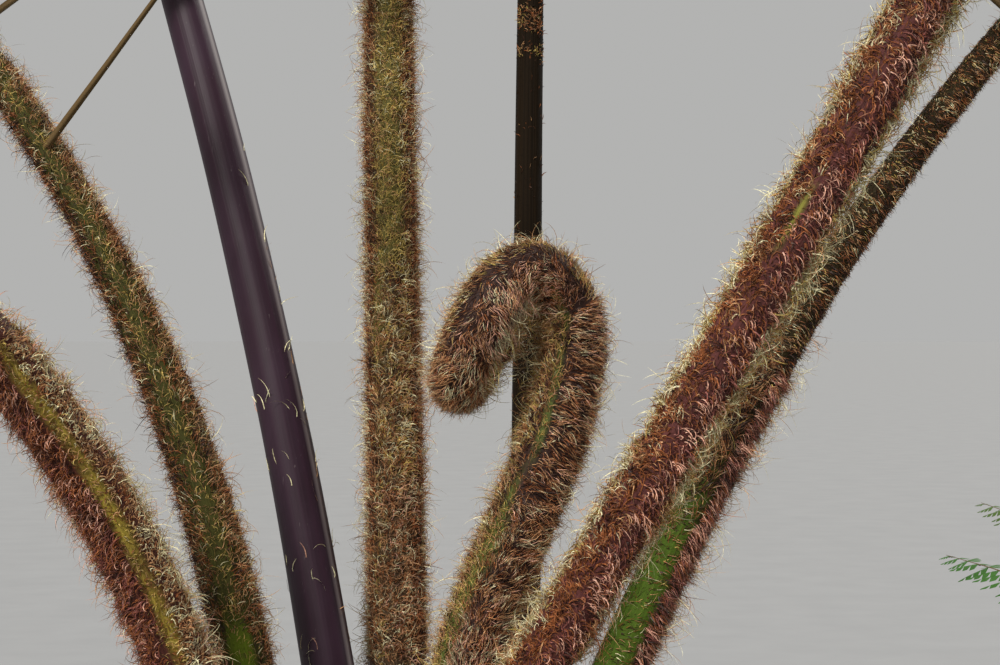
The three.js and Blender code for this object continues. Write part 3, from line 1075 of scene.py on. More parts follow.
class HairField:
    """Collects hairs as curled ribbons and makes them into pieces, one tint to a piece."""

    CLEAR = 0.25  # height at which a hair lies on the skin
    SUNK = 0.3  # depth of its root
    INWARD = 0.15  # how far every hair curls towards the skin
    DRIFT = 0.4  # how far it strays from the plane of its curl
    WEIGHT = 0.18  # how far its tip hangs down

    def __init__(self, rng: np.random.Generator) -> None:
        """Starts with no hair."""
        self.rng = rng
        self.parts: dict[Tint, list[Mesh]] = {tint: [] for tint in Tint}

    def ribbons(self, kind: HairKind, hairs: Strands, width: float) -> Array:
        """Curled ribbons.

        A hair's heading is way * cos(turn) + bow * sin(turn), where turn grows evenly from root to tip, plus
        a drift out of that plane and a pull to its tuft's focus. What would sink into the skin is lifted to
        lie on it. A ribbon narrows with share ** 1.5 to a point.

        Args:
            kind: the sort of hair.
            hairs: the roots.
            width: a factor on the kind's width.

        Returns:
            n by 2 * segments + 1 by 3 vertices.
        """
        n, k, rng = len(hairs.root), kind.segments, self.rng
        toward = kind.unity * hairs.toward + (1 - kind.unity) * rng.normal(0, 0.8, (n, 3))
        toward = toward - self.INWARD * hairs.normal
        bow = unit(toward - hairs.way * (toward * hairs.way).sum(-1, keepdims=True))
        side = np.cross(hairs.way, bow)
        t = ((np.arange(k) + 0.5) / k)[None, :, None]
        turn = np.radians(kind.bend) * rng.uniform(0.5, 1.45, (n, 1, 1)) * t
        pull = unit(hairs.focus - hairs.root)[:, None] * kind.pull * t
        heading = hairs.way[:, None] * np.cos(turn) + bow[:, None] * np.sin(turn) + pull
        heading = heading + side[:, None] * rng.normal(0, self.DRIFT, (n, 1, 1)) * t - self.WEIGHT * UP * t
        steps = unit(heading) * (hairs.size / k)[:, None, None]
        start = (hairs.root - hairs.normal * self.SUNK)[:, None]
        spine = start + np.concatenate([np.zeros((n, 1, 3)), np.cumsum(steps, 1)], 1)
        height = ((spine - hairs.root[:, None]) * hairs.normal[:, None]).sum(-1, keepdims=True)
        spine[:, 1:] += hairs.normal[:, None] * np.maximum(0, self.CLEAR - height[:, 1:])
        flat = unit(np.cross(np.gradient(spine, axis=1), rng.normal(size=(n, 1, 3))))
        share = (np.arange(k + 1) / k)[None, :, None]
        half = 0.5 * width * kind.width * (1 - 0.7 * share**1.5) * rng.uniform(0.75, 1.3, (n, 1, 1))
        pairs = np.stack([spine - flat * half, spine + flat * half], 2)
        return np.concatenate([pairs[:, :-1].reshape(n, 2 * k, 3), spine[:, -1:]], 1)

    def add(self, kind: HairKind, hairs: Strands, width: float = 1.0) -> None:
        """Grows hairs of one kind and files them by tint.

        Args:
            kind: the sort of hair.
            hairs: the roots.
            width: a factor on the kind's width.
        """
        k = kind.segments
        vertices = self.ribbons(kind, hairs, width)
        j = 2 * np.arange(k - 1)
        strips = np.stack([j, j + 1, j + 3, j, j + 3, j + 2], -1).reshape(-1, 3)
        triangles = np.concatenate([strips, [[2 * k - 2, 2 * k - 1, 2 * k]]])
        for i, tint in enumerate(Tint):
            found = vertices[hairs.tint == i]
            if len(found):
                faces = repeated(triangles, len(found), 2 * k + 1)
                self.parts[tint].append((found.reshape(-1, 3) * MM, faces))

    def build(self, limit: int = 190000) -> None:
        """Makes each tint's pieces.

        Args:
            limit: the most triangles in a piece.
        """
        for tint, parts in self.parts.items():
            material = tint.value.material()
            chunks: list[list[Mesh]] = [[]]
            for part in parts:
                if sum(len(f) for _, f in [*chunks[-1], part]) > limit:
                    chunks.append([])
                chunks[-1].append(part)
            for number, chunk in enumerate(chunks, 1):
                dress(piece_of(f"{tint.value.name}_{number}", *joined(chunk)), material)


def facing(normal: Array, along: Array) -> Array:
    """How far normals of a limb are turned from the near side, towards -Y, in degrees, with 90 on the right.

    Args:
        normal: n by 3 normals.
        along: n by 3 directions along the limb.

    Returns:
        The angles.
    """
    right = unit(np.cross(AWAY, along))
    near = np.cross(right, along)
    return np.degrees(np.arctan2((normal * right).sum(-1), (normal * near).sum(-1)))


@dataclass
class Skin(Rows):
    """Spots on a limb's skin: distance and angle on the limb, place, directions and the limb's radius."""

    s: Array
    angle: Array
    root: Array
    normal: Array
    along: Array
    radius: Array


@dataclass
class Tube(Rows):
    """A round limb that hair can grow on: ring centres, directions, radii and distances along it."""

    centre: Array
    along: Array
    across: Array
    lift: Array
    radius: Array
    run: Array

    @classmethod
    def round(cls, centre: Array, aim: Array, radius: Array, run: Array) -> "Tube":
        """A limb round a line.

        Args:
            centre: n by 3 places.
            aim: a direction, which across keeps as near to as it can.
            radius: n radii.
            run: n distances along the limb.

        Returns:
            The limb.
        """
        along = unit(np.gradient(centre, axis=0))
        across = unit(aim - along * (along @ aim)[:, None])
        return cls(centre, along, across, np.cross(along, across), radius, run)

    def read(self, s: Array, angle: Array) -> Skin:
        """Reads the skin at distances and angles on the limb.

        Args:
            s: distances.
            angle: angles from across towards lift, in radians.

        Returns:
            The spots.
        """
        centre, along, across, lift = (
            np.stack([np.interp(s, self.run, a[:, k]) for k in range(3)], -1)
            for a in (self.centre, self.along, self.across, self.lift)
        )
        radius = np.interp(s, self.run, self.radius)
        normal = unit(across * np.cos(angle)[:, None] + lift * np.sin(angle)[:, None])
        return Skin(s, angle, centre + normal * radius[:, None], normal, unit(along), radius)

    def skin(self, name: str, sides: int, radius: Array | None = None) -> tuple[Object, Array, Array]:
        """Makes the skin as a closed tube.

        Args:
            name: the piece's name.
            sides: points in a ring.
            radius: n by sides radii, where the skin is uneven.

        Returns:
            The piece, and the ring points' angles as facing gives them and distances along the limb.
        """
        radius = self.radius if radius is None else radius
        vertices = swept(self.centre, self.across, self.lift, radius, sides)
        normal = unit(vertices.reshape(-1, sides, 3) - self.centre[:, None]).reshape(-1, 3)
        face = facing(normal, np.repeat(self.along, sides, 0))
        return piece_of(name, *closed_tube(vertices, sides, self.run)), face, np.repeat(self.run, sides)


@dataclass(frozen=True)
class Coat:
    """Hair of some kinds on one limb. Bands count from a middle that may wander along the limb."""

    kinds: tuple[HairKind, ...]
    start: float
    end: float
    bands: tuple[Band, ...]
    middle: Pairs = ((0, 0),)  # (distance, angle)
    width: float = 1.0
    size: float = 1.0
    back: float = 0.27  # share of the hair kept on the side that faces away
    dense: tuple[float, float] = (90.0, 400.0)  # stretch with its full hair, beyond which it thins
    lay: float = 1.0  # how far the hair stands off, against its kind
    fade: float = 4.0  # over which a band's ends mix with what follows

    THIN = 0.28  # share of the hair kept beyond the dense stretch
    AWAY_FROM = 112.0  # angle beyond which the limb faces away
    SPARE = 1.15  # roots scattered for each that a full coat keeps
    TUFTS = 4093  # how many tufts have a bend and a tone of their own

    def values(self, name: str, which: Array) -> Array:
        """A field of each hair's band."""
        return np.array([getattr(band, name) for band in self.bands])[which]

    def grow(self, tube: Tube, hair: HairField) -> None:
        """Scatters each kind evenly over the limb, then thins, combs and tints it by its band.

        A band's edge wanders by a few degrees on its way along the limb, and from hair to hair.

        Args:
            tube: the limb.
            hair: collects the hairs.
        """
        rng = hair.rng
        for kind in self.kinds:
            radius = np.interp((self.start + self.end) / 2, tube.run, tube.radius)
            n = int(2 * np.pi * float(radius) * (self.end - self.start) * kind.density * self.SPARE)
            skin = tube.read(rng.uniform(self.start, self.end, n), rng.uniform(0, 2 * np.pi, n))
            s, face = skin.s, facing(skin.normal, skin.along)
            edge = face - read(self.middle, s) + 4 * np.sin(s / 16) + 3 * np.sin(s / 6.3 + 1)
            edge = edge + rng.normal(0, 3.5, n)
            reach = s + rng.normal(0, self.fade, n)
            which = np.full(n, -1)
            for i, band in enumerate(self.bands):
                inside = (edge >= band.start) & (edge < band.end)
                which[inside & (reach >= band.low) & (reach < band.high)] = i
            cover = np.array([band.cover(kind) for band in self.bands] + [0.0])[which] / self.SPARE
            cover = cover * np.where(np.abs(face) > self.AWAY_FROM, self.back, 1)
            cover = cover * np.where((s < self.dense[0]) | (s > self.dense[1]), self.THIN, 1)
            keep = rng.uniform(size=n) < cover
            if keep.any():
                hair.add(kind, self.strands(kind, tube, rng, skin.pick(keep), which[keep]), self.width)

    def strands(
        self, kind: HairKind, tube: Tube, rng: np.random.Generator, skin: Skin, which: Array,
    ) -> Strands:
        """Groups hairs into tufts that share a bend, a meeting point and a tone, and combs them by band.

        Args:
            kind: the sort of hair.
            tube: the limb.
            rng: the source of chance.
            skin: the roots.
            which: each root's band.

        Returns:
            The hairs, ready to grow.
        """
        n, rows = len(skin.s), np.floor(skin.s / kind.cell[0] + 0.4 * np.sin(3 * skin.angle))
        around = np.maximum(1, np.round(2 * np.pi * skin.radius / kind.cell[1]))
        columns = np.floor(skin.angle / (2 * np.pi) * around + 0.5 * (rows % 2))
        tuft = (rows * 131 + columns * 17).astype(int) % self.TUFTS
        shared = rng.normal(0, 1, (self.TUFTS, 3))[tuft]
        tone = rng.uniform(size=self.TUFTS)[tuft]
        right = np.cross(AWAY, skin.along)
        right = unit(right - skin.normal * (right * skin.normal).sum(-1, keepdims=True) + 1e-6)
        comb, bow = self.values("comb", which), self.values("bow", which)
        flat = skin.along * comb[:, :1] + right * comb[:, 1:] + 0.25 * shared + rng.normal(0, 0.22, (n, 3))
        toward = 0.5 * shared + 1.4 * (skin.along * bow[:, :1] + right * bow[:, 1:])
        flat = unit(flat - skin.normal * (flat * skin.normal).sum(-1, keepdims=True))
        stand = kind.lift * (1 if kind.loose else self.lay)
        lift = np.radians(stand * rng.uniform(0.6, 1.5, (n, 1)))
        way = flat * np.cos(lift) + skin.normal * np.sin(lift)
        spot = tube.read((rows + 0.5) * kind.cell[0], (columns + 0.5 - 0.5 * (rows % 2)) / around * 2 * np.pi)
        focus = spot.root + (flat + spot.normal * np.tan(np.radians(stand))) * kind.length * 0.75
        shares = np.array([blend(band.under if kind is UNDER else band.over) for band in self.bands])
        draw = np.clip(0.5 + 1.3 * (0.5 * tone + 0.5 * rng.uniform(size=n) - 0.5), 0, 0.999)
        tint = (draw[:, None] >= np.cumsum(shares, 1)[which] - 1e-9).sum(1).clip(0, len(Tint) - 1)
        size = kind.length * self.size * self.values("lengthen", which) * rng.uniform(0.6, 1.35, n)
        return Strands(skin.root, skin.normal, way, toward, focus, size, tint)


@dataclass(frozen=True)
class Stripe:
    """Green skin along a limb: its middle as (distance, angle) pairs, half width in degrees, and its ends."""

    middle: Pairs
    half: float
    low: float = -1e9
    high: float = 1e9
    strength: float = 1.0
    soft: float = 12.0  # length over which an end fades

    def share(self, face: Array, s: Array) -> Array:
        """How green the skin is, softened at the stripe's edges and ends.

        Args:
            face: angles as facing gives them.
            s: distances along the limb.

        Returns:
            Shares from 0 to 1.
        """
        off = np.abs(face - read(self.middle, s))
        edge = np.clip((self.half - off + 2.5 * np.sin(s / 9)) / 7 + 0.5, 0, 1)
        ends = np.clip(np.minimum(s - self.low, self.high - s) / self.soft + 0.5, 0, 1)
        return edge * ends * self.strength


@dataclass(frozen=True)
class Dressing:
    """A stalk's skin, its green stripes and its coats.

    The solid's surface lies in the coat, above the skin by the depths given as (distance, depth).
    """

    skin: SkinFinish
    stripes: tuple[Stripe, ...] = ()
    coats: tuple[Coat, ...] = ()
    depth: Pairs = ((0, 0),)


BROWN = "dark 45 rust 35 tan 20"
BACK = Band(-181, 181, BROWN, "dark 15 rust 30 tan 35 gold 20")


def fringe(
    left: str, right: str, start: float, end: float, kind: HairKind = CURL,
    left_share: float = 1.0, right_share: float = 1.0, lengthen: float = 1.0,
) -> Coat:
    """Long loose hair along both edges of a limb as it is seen; its pale tints are partly painted rim light.

    Args:
        left, right: each side's tint recipe.
        start, end: distances along the limb.
        kind: the sort of hair.
        left_share, right_share: each side's density against the kind's.
        lengthen: a factor on the kind's length.

    Returns:
        The coat.
    """
    bands = (
        Band(-128, -64, BROWN, left, comb=(0.4, -0.8), stray=left_share, lengthen=lengthen),
        Band(60, 128, BROWN, right, comb=(0.3, 0.8), stray=right_share, lengthen=lengthen),
    )
    return Coat((kind,), start, end, bands, dense=(start, end), fade=12)


DRESSINGS = {
    "left_front": Dressing(
        SkinFinish("left_front_skin", (0.09, 0.026, 0.018), (0.44, 0.33, 0.05)),
        (Stripe(((0, 16),), 9, low=118),),
        (
            Coat((UNDER, LOCK, WISP), 40, 440, (
                BACK,
                Band(-130, -64, "dark 4 rust 6", "rust 35 pink 25 tan 30 cream 10", comb=(0.3, -0.9),
                    stray=1.8),
                Band(-64, 4, "dark 4 mauve 2 rust 4", "mauve 34 rust 40 pink 26", comb=(0.5, -0.7),
                    bow=(-1, 0.1), lengthen=0.8),
                Band(4, 28, "rust 25 gold 75", "rust 25 tan 20 gold 50 cream 5", 0.7, 0.85, (1, 0.1),
                    lengthen=0.5),
                Band(28, 74, "rust 4 tan 6", "rust 13 tan 46 cream 41", comb=(0.5, 0.6), lengthen=0.6),
                Band(74, 130, "rust 3 tan 7", "tan 35 gold 10 pink 10 cream 45", top=0.8, comb=(0.3, 0.8),
                    stray=2.8),
            ), width=1.15, dense=(95, 262), lay=0.62),
            fringe("rust 2 tan 4 pink 4", "tan 4 pink 1 cream 5", 95, 270, right_share=2),
        ),
        ((0, 2), (440, 2), (600, 0)),
    ),
    "left": Dressing(
        SkinFinish("left_skin", (0.06, 0.058, 0.014), (0.155, 0.22, 0.018), 0.1),
        (Stripe(((0, 8),), 24, high=116),),
        (
            Coat((UNDER, FRIZZ, STRAY, THREAD), 40, 560, (
                BACK,
                Band(-120, -14, "dark 85 rust 15", "dark 46 rust 30 tan 18 cream 6", comb=(0.75, -0.35),
                    stray=2),
                Band(-12, 24, "dark 4 gold 6", "dark 10 tan 40 gold 34 cream 16", 0.3, 0.45,
                    comb=(0.9, 0.3)),
                Band(24, 120, "dark 7 rust 3", "dark 18 rust 22 tan 40 gold 8 cream 12", comb=(0.7, 0.5),
                    stray=2),
                Band(-22, 34, BROWN, "gold 1", 0.04, 0.1, high=112),
            ), dense=(95, 375)),
            fringe("dark 3 tan 4 cream 3", "tan 5 gold 1 cream 4", 95, 420),
        ),
        ((0, 0), (120, 0.2), (200, 0.8), (300, 2.3), (400, 2.3), (560, 0)),
    ),
    "centre": Dressing(
        SkinFinish("centre_skin", (0.07, 0.038, 0.016), (0.13, 0.12, 0.025)),
        (Stripe(((0, -34), (262, -34), (280, -4)), 16, low=225, strength=0.8),
            Stripe(((0, 0),), 28, low=270, strength=0.8)),
        (
            Coat((UNDER, FRIZZ, STRAY, THREAD), 40, 450, (
                BACK,
                Band(-120, -66, "dark 4 rust 4 tan 2", "rust 14 tan 42 cream 44", comb=(0.8, -0.6),
                    stray=1.8),
                Band(-66, -40, "dark 8 rust 2", "dark 20 rust 35 tan 30 cream 15", comb=(0.9, -0.2)),
                Band(-40, 44, "dark 35 rust 35 gold 30", "rust 6 tan 42 gold 20 cream 32", comb=(0.8, 0.45)),
                Band(-26, 44, "dark 45 rust 55", "dark 3 rust 20 tan 42 pink 12 cream 23", comb=(0.8, 0.45),
                    high=170),
                Band(-34, 30, "dark 4 gold 6", "dark 10 tan 25 gold 60 cream 5", 0.8, 0.8, low=262),
                Band(44, 68, "dark 7 rust 3", "dark 20 rust 45 tan 25 cream 10", comb=(0.9, 0.2)),
                Band(68, 120, "dark 4 rust 4 tan 2", "rust 25 tan 40 cream 35", comb=(0.8, 0.5), stray=1.8),
            )),
            fringe("tan 4 cream 6", "rust 10 tan 45 cream 45", 85, 400),
        ),
    ),
    "right_front": Dressing(
        SkinFinish("right_front_skin", (0.115, 0.034, 0.03), (0.3, 0.32, 0.04)),
        (Stripe(((0, -17),), 6, low=318, high=338),),
        (
            Coat((UNDER, LOCK, WISP), 40, 460, (
                BACK,
                # Cream in the edge bands on both sides is partly painted rim light on backlit hair.
                Band(-130, -60, "rust 5 tan 5", "rust 12 tan 28 gold 15 cream 45", comb=(0.45, -1),
                    stray=2.4),
                Band(-60, -12, "dark 35 rust 65", "dark 12 rust 60 tan 22 cream 6", comb=(0.6, -0.2),
                    lengthen=0.9),
                # Pink in this front band is partly painted highlight on lit tufts.
                Band(-12, 46, "dark 35 mauve 50 rust 15", "dark 10 mauve 30 rust 24 pink 36", top=0.66,
                    comb=(0.5, 0.75), bow=(-0.9, 0.2), lengthen=0.8),
                Band(46, 128, "dark 2 tan 6 gold 2", "tan 30 gold 15 cream 55", top=1.3, comb=(0, 0.9),
                    lengthen=0.9, stray=1.6, low=230),
                Band(46, 128, "dark 4 rust 3 tan 3", "rust 30 tan 35 gold 5 cream 30", comb=(0.9, 0.3),
                    bow=(-0.8, -0.4), lengthen=0.55, high=230),
                Band(-24, -10, BROWN, BROWN, 0.1, 0.3, low=318, high=336),
            ), width=1.3, dense=(115, 450), lay=0.75),
            fringe("tan 3 gold 1 cream 6", "rust 5 tan 40 gold 10 cream 45", 110, 460, WOOL, left_share=0.5,
                right_share=1.5),
        ),
        ((0, 4), (120, 4), (300, 2.4), (450, 1.2), (600, 0)),
    ),
    "right": Dressing(
        SkinFinish("right_skin", (0.03, 0.022, 0.009), (0.072, 0.122, 0.014), 0.06),
        (Stripe(((0, -42),), 64, high=185, soft=50),),
        (
            Coat((UNDER, COMBED, THREAD), 235, 620,
                (Band(-181, 181, "dark 95 gold 5", "dark 42 rust 20 tan 20 gold 8 cream 10", low=235,
                comb=(0.2, 1), bow=(-0.6, 0), lengthen=0.7),), dense=(235, 520), lay=0.8),
            Coat((UNDER, COMBED, THREAD), 40, 245, (
                Band(-110, 16, "dark 6 gold 4", "dark 35 rust 25 tan 25 cream 15", 0.2, 0.2,
                    comb=(0.5, 0.8), lengthen=0.7, high=182),
                Band(-110, 16, "dark 1", "dark 55 rust 20 tan 25", low=182),
                Band(16, 70, "dark 8 mauve 2", "dark 30 mauve 30 rust 16 pink 24", comb=(-0.2, 1),
                    bow=(-0.7, 0.2)),
                Band(70, 181, "dark 6 rust 4", "dark 12 rust 18 tan 35 cream 35", comb=(-0.1, 1),
                    lengthen=1.15, stray=2.4),
            ), size=1.25, dense=(90, 250), fade=16),
            fringe("tan 5 cream 5", "rust 5 tan 40 cream 55", 90, 270, left_share=0.2, right_share=4.4,
                lengthen=1.4),
        ),
        ((0, 0.6), (240, 1), (300, 2.2), (450, 2.4), (600, 0)),
    ),
    "dark_back": Dressing(
        SkinFinish("dark_back_skin", (0.014, 0.008, 0.0035), (0.05, 0.03, 0.008), 0.08),
        (),
        (
            Coat((UNDER, STRAY), 60, 430, (Band(-181, 181, BROWN, BROWN, 0.05, 0.03),)),
            Coat((UNDER, FRIZZ), 355, 392, (
                Band(-181, 181, BROWN, BROWN, 0.06, 0.04),
                Band(-60, 70, "rust 5 gold 5", "rust 3 tan 3 gold 4", low=361, high=365),
                Band(-70, 50, "rust 7 gold 3", "rust 4 tan 3 gold 3", low=372, high=383),
            ), size=0.55, dense=(0, 900), lay=0.5, fade=1.2),
        ),
    ),
    "dark_left": Dressing(
        SkinFinish("dark_left_skin", (0.03, 0.015, 0.015), (0.1, 0.1, 0.03)),
        (),
        (
            Coat((SCRAP,), 70, 225, (Band(-80, 110, BROWN, "pink 3 cream 7"),)),
            Coat((SCRAP, SCRAP), 70, 330, (Band(52, 84, BROWN, "tan 5 cream 5"),)),
        ),
    ),
}
CROZIER_LEFT = (
    replace(BACK, end=-10),
    Band(-95, -14, "dark 6 rust 2 tan 2", "dark 5 rust 10 tan 42 gold 22 cream 21", comb=(0.9, -0.3),
        stray=2),
    Band(-14, 12, "rust 3 gold 7", "dark 1 tan 4 gold 5", 0.6, 0.8, (1, 0.2), high=200),
    Band(-10, 8, "rust 3 gold 7", "dark 20 rust 10 tan 35 gold 35", 0.35, 0.6, (1, 0.2), low=200),
)
CROZIER_RIGHT = (
    Band(10, 60, "dark 8 rust 2", "dark 16 rust 25 tan 31 pink 16 cream 12", comb=(0.98, 0.15), high=195),
    Band(60, 98, "dark 8 rust 2", "dark 10 rust 24 tan 36 pink 10 cream 20", comb=(0.95, 0.35), high=195),
    Band(10, 98, "dark 35 mauve 20 rust 45", "dark 3 rust 16 tan 37 pink 23 cream 21", comb=(0.97, 0.25),
        high=150),
    Band(98, 140, "dark 8 rust 2", "rust 15 tan 40 gold 15 cream 30", comb=(0.5, 0.8), high=195, stray=2),
    Band(8, 110, "dark 1", "dark 15 rust 30 tan 30 pink 15 cream 10", top=0.8, comb=(0.1, 1), bow=(-0.5, 0),
        low=195, stray=2.2),
    Band(110, 230, "dark 6 rust 4", "rust 30 tan 45 cream 25", comb=(0.1, 1)),
)
CROZIER_COIL = (
    Band(-181, 181, "dark 6 rust 4", "rust 35 tan 40 pink 25", comb=(0.9, 0.2)),
    Band(-130, -52, "dark 8 rust 2", "dark 14 rust 30 pink 30 cream 26", comb=(0.6, -0.8), bow=(0.8, 0)),
    Band(-118, -40, "dark 1", "pink 35 cream 65", top=0.5, comb=(0.4, -1), bow=(0.9, 0), lengthen=1.4,
        low=318, high=358),
    Band(-52, 26, "dark 75 rust 25", "dark 6 rust 28 tan 20 pink 28 cream 18", comb=(1, -0.35)),
    # painted shade: a strip of nearly all dark hair where the rolled coil's groove would lie in shadow
    Band(26, 42, "dark 1", "dark 6 rust 3 tan 1", top=0.8, comb=(1, 0)),
    Band(42, 130, "dark 70 rust 15 gold 15", "dark 10 rust 10 tan 40 gold 28 cream 12", comb=(0.9, 0.3),
        stray=2),
    Band(-181, 181, "dark 6 rust 4", "dark 6 rust 24 tan 40 pink 10 cream 20", comb=(0.6, 0.6), low=352,
        high=392),
)


@dataclass
class Limbs:
    """Stalks and ribs of all fronds, with their hair."""

    paths: list[FrondPath]
    hair: HairField
    view_end: float = 480.0  # distance up to which a limb may be seen close
    rib_rings: int = 44  # rings beyond that
    knob: float = 0.012  # unevenness of the skin, against its radius
    # the pale line sits at a fixed angle right of the near side: partly painted reflection
    line: tuple[float, float] = (64.0, 4.0)  # angle and half width of a smooth stalk's pale line

    def limb(self, path: FrondPath) -> None:
        """Makes a frond's stalk and rib as a closed tube, finely ringed where it is seen close, and its hair.

        Args:
            path: the frond's centre line.
        """
        f = path.frond
        sides, step = (28, 4.0) if f.name in DRESSINGS else (12, 16.0)
        fine = np.arange(-ROOT_DEPTH, self.view_end, step)
        run = np.concatenate([fine, np.linspace(fine[-1] + 20, f.length - 2, self.rib_rings)])
        along = path.along(run)
        across = np.tile(path.side, (len(run), 1))
        dressing = DRESSINGS.get(f.name, Dressing(SkinFinish("far_skin", *FAR_COLORS)))
        radius = path.half_width(run) - read(dressing.depth, run)
        tube = Tube(path.place(run), along, across, np.cross(along, across), radius, run)
        angle = np.linspace(0, 2 * np.pi, sides, endpoint=False)
        knobs = np.sin(3 * angle + 1.3)[None] * np.sin(run / 23)[:, None] + np.sin(run / 61 + 2)[:, None]
        piece, face, s = tube.skin(f"{f.name}_limb", sides, radius[:, None] * (1 + self.knob * knobs))
        if f.smooth and f.name != "dark_back":
            # the pale line, partly painted reflection on the right side as seen
            middle, half = self.line
            set_attribute(piece, "line", np.exp(-(((face - middle) / half) ** 2)) * 0.5)
            material, slot = SMOOTH_SKIN.material(), "smooth_stalk"
        else:
            green = np.where(s > f.stalk + 60, 0.7, 0.0)
            for stripe in dressing.stripes:
                green = np.maximum(green, stripe.share(face, s))
            set_attribute(piece, "green", green)
            material, slot = dressing.skin.material(), "hairy_stalk"
        dress(piece, material, [f"{f.name}_stalk", f"{f.name}_inner_blade", f"{f.name}_outer_blade"])
        thin = replace(BACK, fill=0.02, top=0.04) if f.smooth else replace(BACK, fill=0.08, top=0.22)
        for coat in dressing.coats or (Coat((UNDER, FRIZZ), 20, f.stalk, (thin,), size=1.5, width=1.5),):
            coat.grow(tube, self.hair)

    def build(self) -> None:
        """Makes every frond's limb."""
        for path in self.paths:
            self.limb(path)


@dataclass
class Crozier:
    """The curled young frond: a stalk, a hook and a coil that winds in behind it."""

    hair: HairField
    path: tuple[Triple, ...] = (
        (4, 0, -28), (18, 0, 72), (30, 0, 118), (47, 0, 160), (61, 0, 196), (68, 0, 230), (65, -3, 248),
        (54, -8, 261), (41, -15, 258), (31, -20, 245), (24, -19, 230), (20.5, -10, 218), (21, 4, 214),
        (28, 15, 225), (36, 18, 240), (37, 10, 252), (34, -1, 249), (31, -6, 239), (32, -1, 232),
        (34, 5, 237),
    )
    radii: Pairs = ((0, 14.5), (0.49, 13.2), (0.7, 11.8), (0.86, 10), (1, 11.5))  # by share of the length
    coil_from: float = 0.566  # share of the length
    stripe: Pairs = (  # angle by distance
        (60, -52), (150, -50), (200, -38), (235, -24), (267, -24), (300, -10),
    )
    overlap: float = 14.0  # how far the stalk's coats go over the hook

    def skin(self, name: str, tube: Tube) -> None:
        """Makes one stretch of skin, with a green stripe that narrows up its stalk.

        Args:
            name: the stretch's name in the solids.
            tube: the stretch.
        """
        piece, face, s = tube.skin(f"young_{name}", 28)
        wide = Stripe(self.stripe, 20, high=190, strength=0.85).share(face, s)
        narrow = Stripe(self.stripe, 6, high=self.stripe[-1][0]).share(face, s)
        set_attribute(piece, "green", np.maximum(wide, narrow))
        finish = SkinFinish("crozier_skin", (0.035, 0.014, 0.01), (0.1, 0.13, 0.022))
        dress(piece, finish.material(), [f"crozier_{name}"])

    def build(self) -> None:
        """Sweeps the whole centre line as one tapering tube, splits it at the hook and grows its coats."""
        centre = even_spline(self.path, 150) + UP * CROWN_HEIGHT
        run = run_of(centre)
        share = run / run[-1]
        tube = Tube.round(centre, AWAY, read(self.radii, share), run)
        split = int(np.searchsorted(share, self.coil_from))
        self.skin("stalk", tube.pick(slice(0, split + 1)))
        self.skin("coil", tube.pick(slice(split, None)))
        hook, end = float(run[split]) + self.overlap, float(run[-1])
        coats = (
            Coat((UNDER, FRIZZ, THREAD), 35, hook, CROZIER_LEFT, self.stripe, dense=(80, 400)),
            Coat((UNDER, COMBED, THREAD), 35, hook, CROZIER_RIGHT, self.stripe, dense=(80, 400)),
            Coat((UNDER, FINE, THREAD), hook, end, CROZIER_COIL, back=0.6, dense=(0, 900)),
            fringe("tan 45 gold 15 cream 40", "tan 4 cream 6", 85, end, left_share=1.2, right_share=2.2),
        )
        for coat in coats:
            coat.grow(tube, self.hair)


@dataclass
class Buds:
    """Small unopened fronds in the heart of the crown."""

    hair: HairField
    places: tuple[tuple[float, float, float, float], ...] = (  # x, y, height and radius
        (36, -24, 62, 11), (-33, -36, 50, 9),
    )
    outline: Pairs = ((0, 0.75), (0.4, 0.72), (0.62, 0.9), (0.78, 1), (0.93, 0.8), (1, 0.1))
    rings: int = 18

    def build(self) -> None:
        """Turns each bud's rounded outline and covers it in hair."""
        share = np.linspace(0, 1, self.rings)
        for i, (x, y, height, radius) in enumerate(self.places, 1):
            rise = (height + ROOT_DEPTH) * share
            centre = np.array([x, y, CROWN_HEIGHT - ROOT_DEPTH]) + UP * rise[:, None]
            tube = Tube.round(centre, level(0.0), radius * read(self.outline, share), rise)
            piece, face, _ = tube.skin(f"young_bud_{i}", 16)
            set_attribute(piece, "green", np.zeros(len(face)))
            dress(piece, SkinFinish("bud_skin", *FAR_COLORS).material(), [f"bud_{i}"])
            Coat((UNDER, FRIZZ), 20, float(rise[-1]), (BACK,), width=1.2, back=1.0).grow(tube, self.hair)


# Trunk


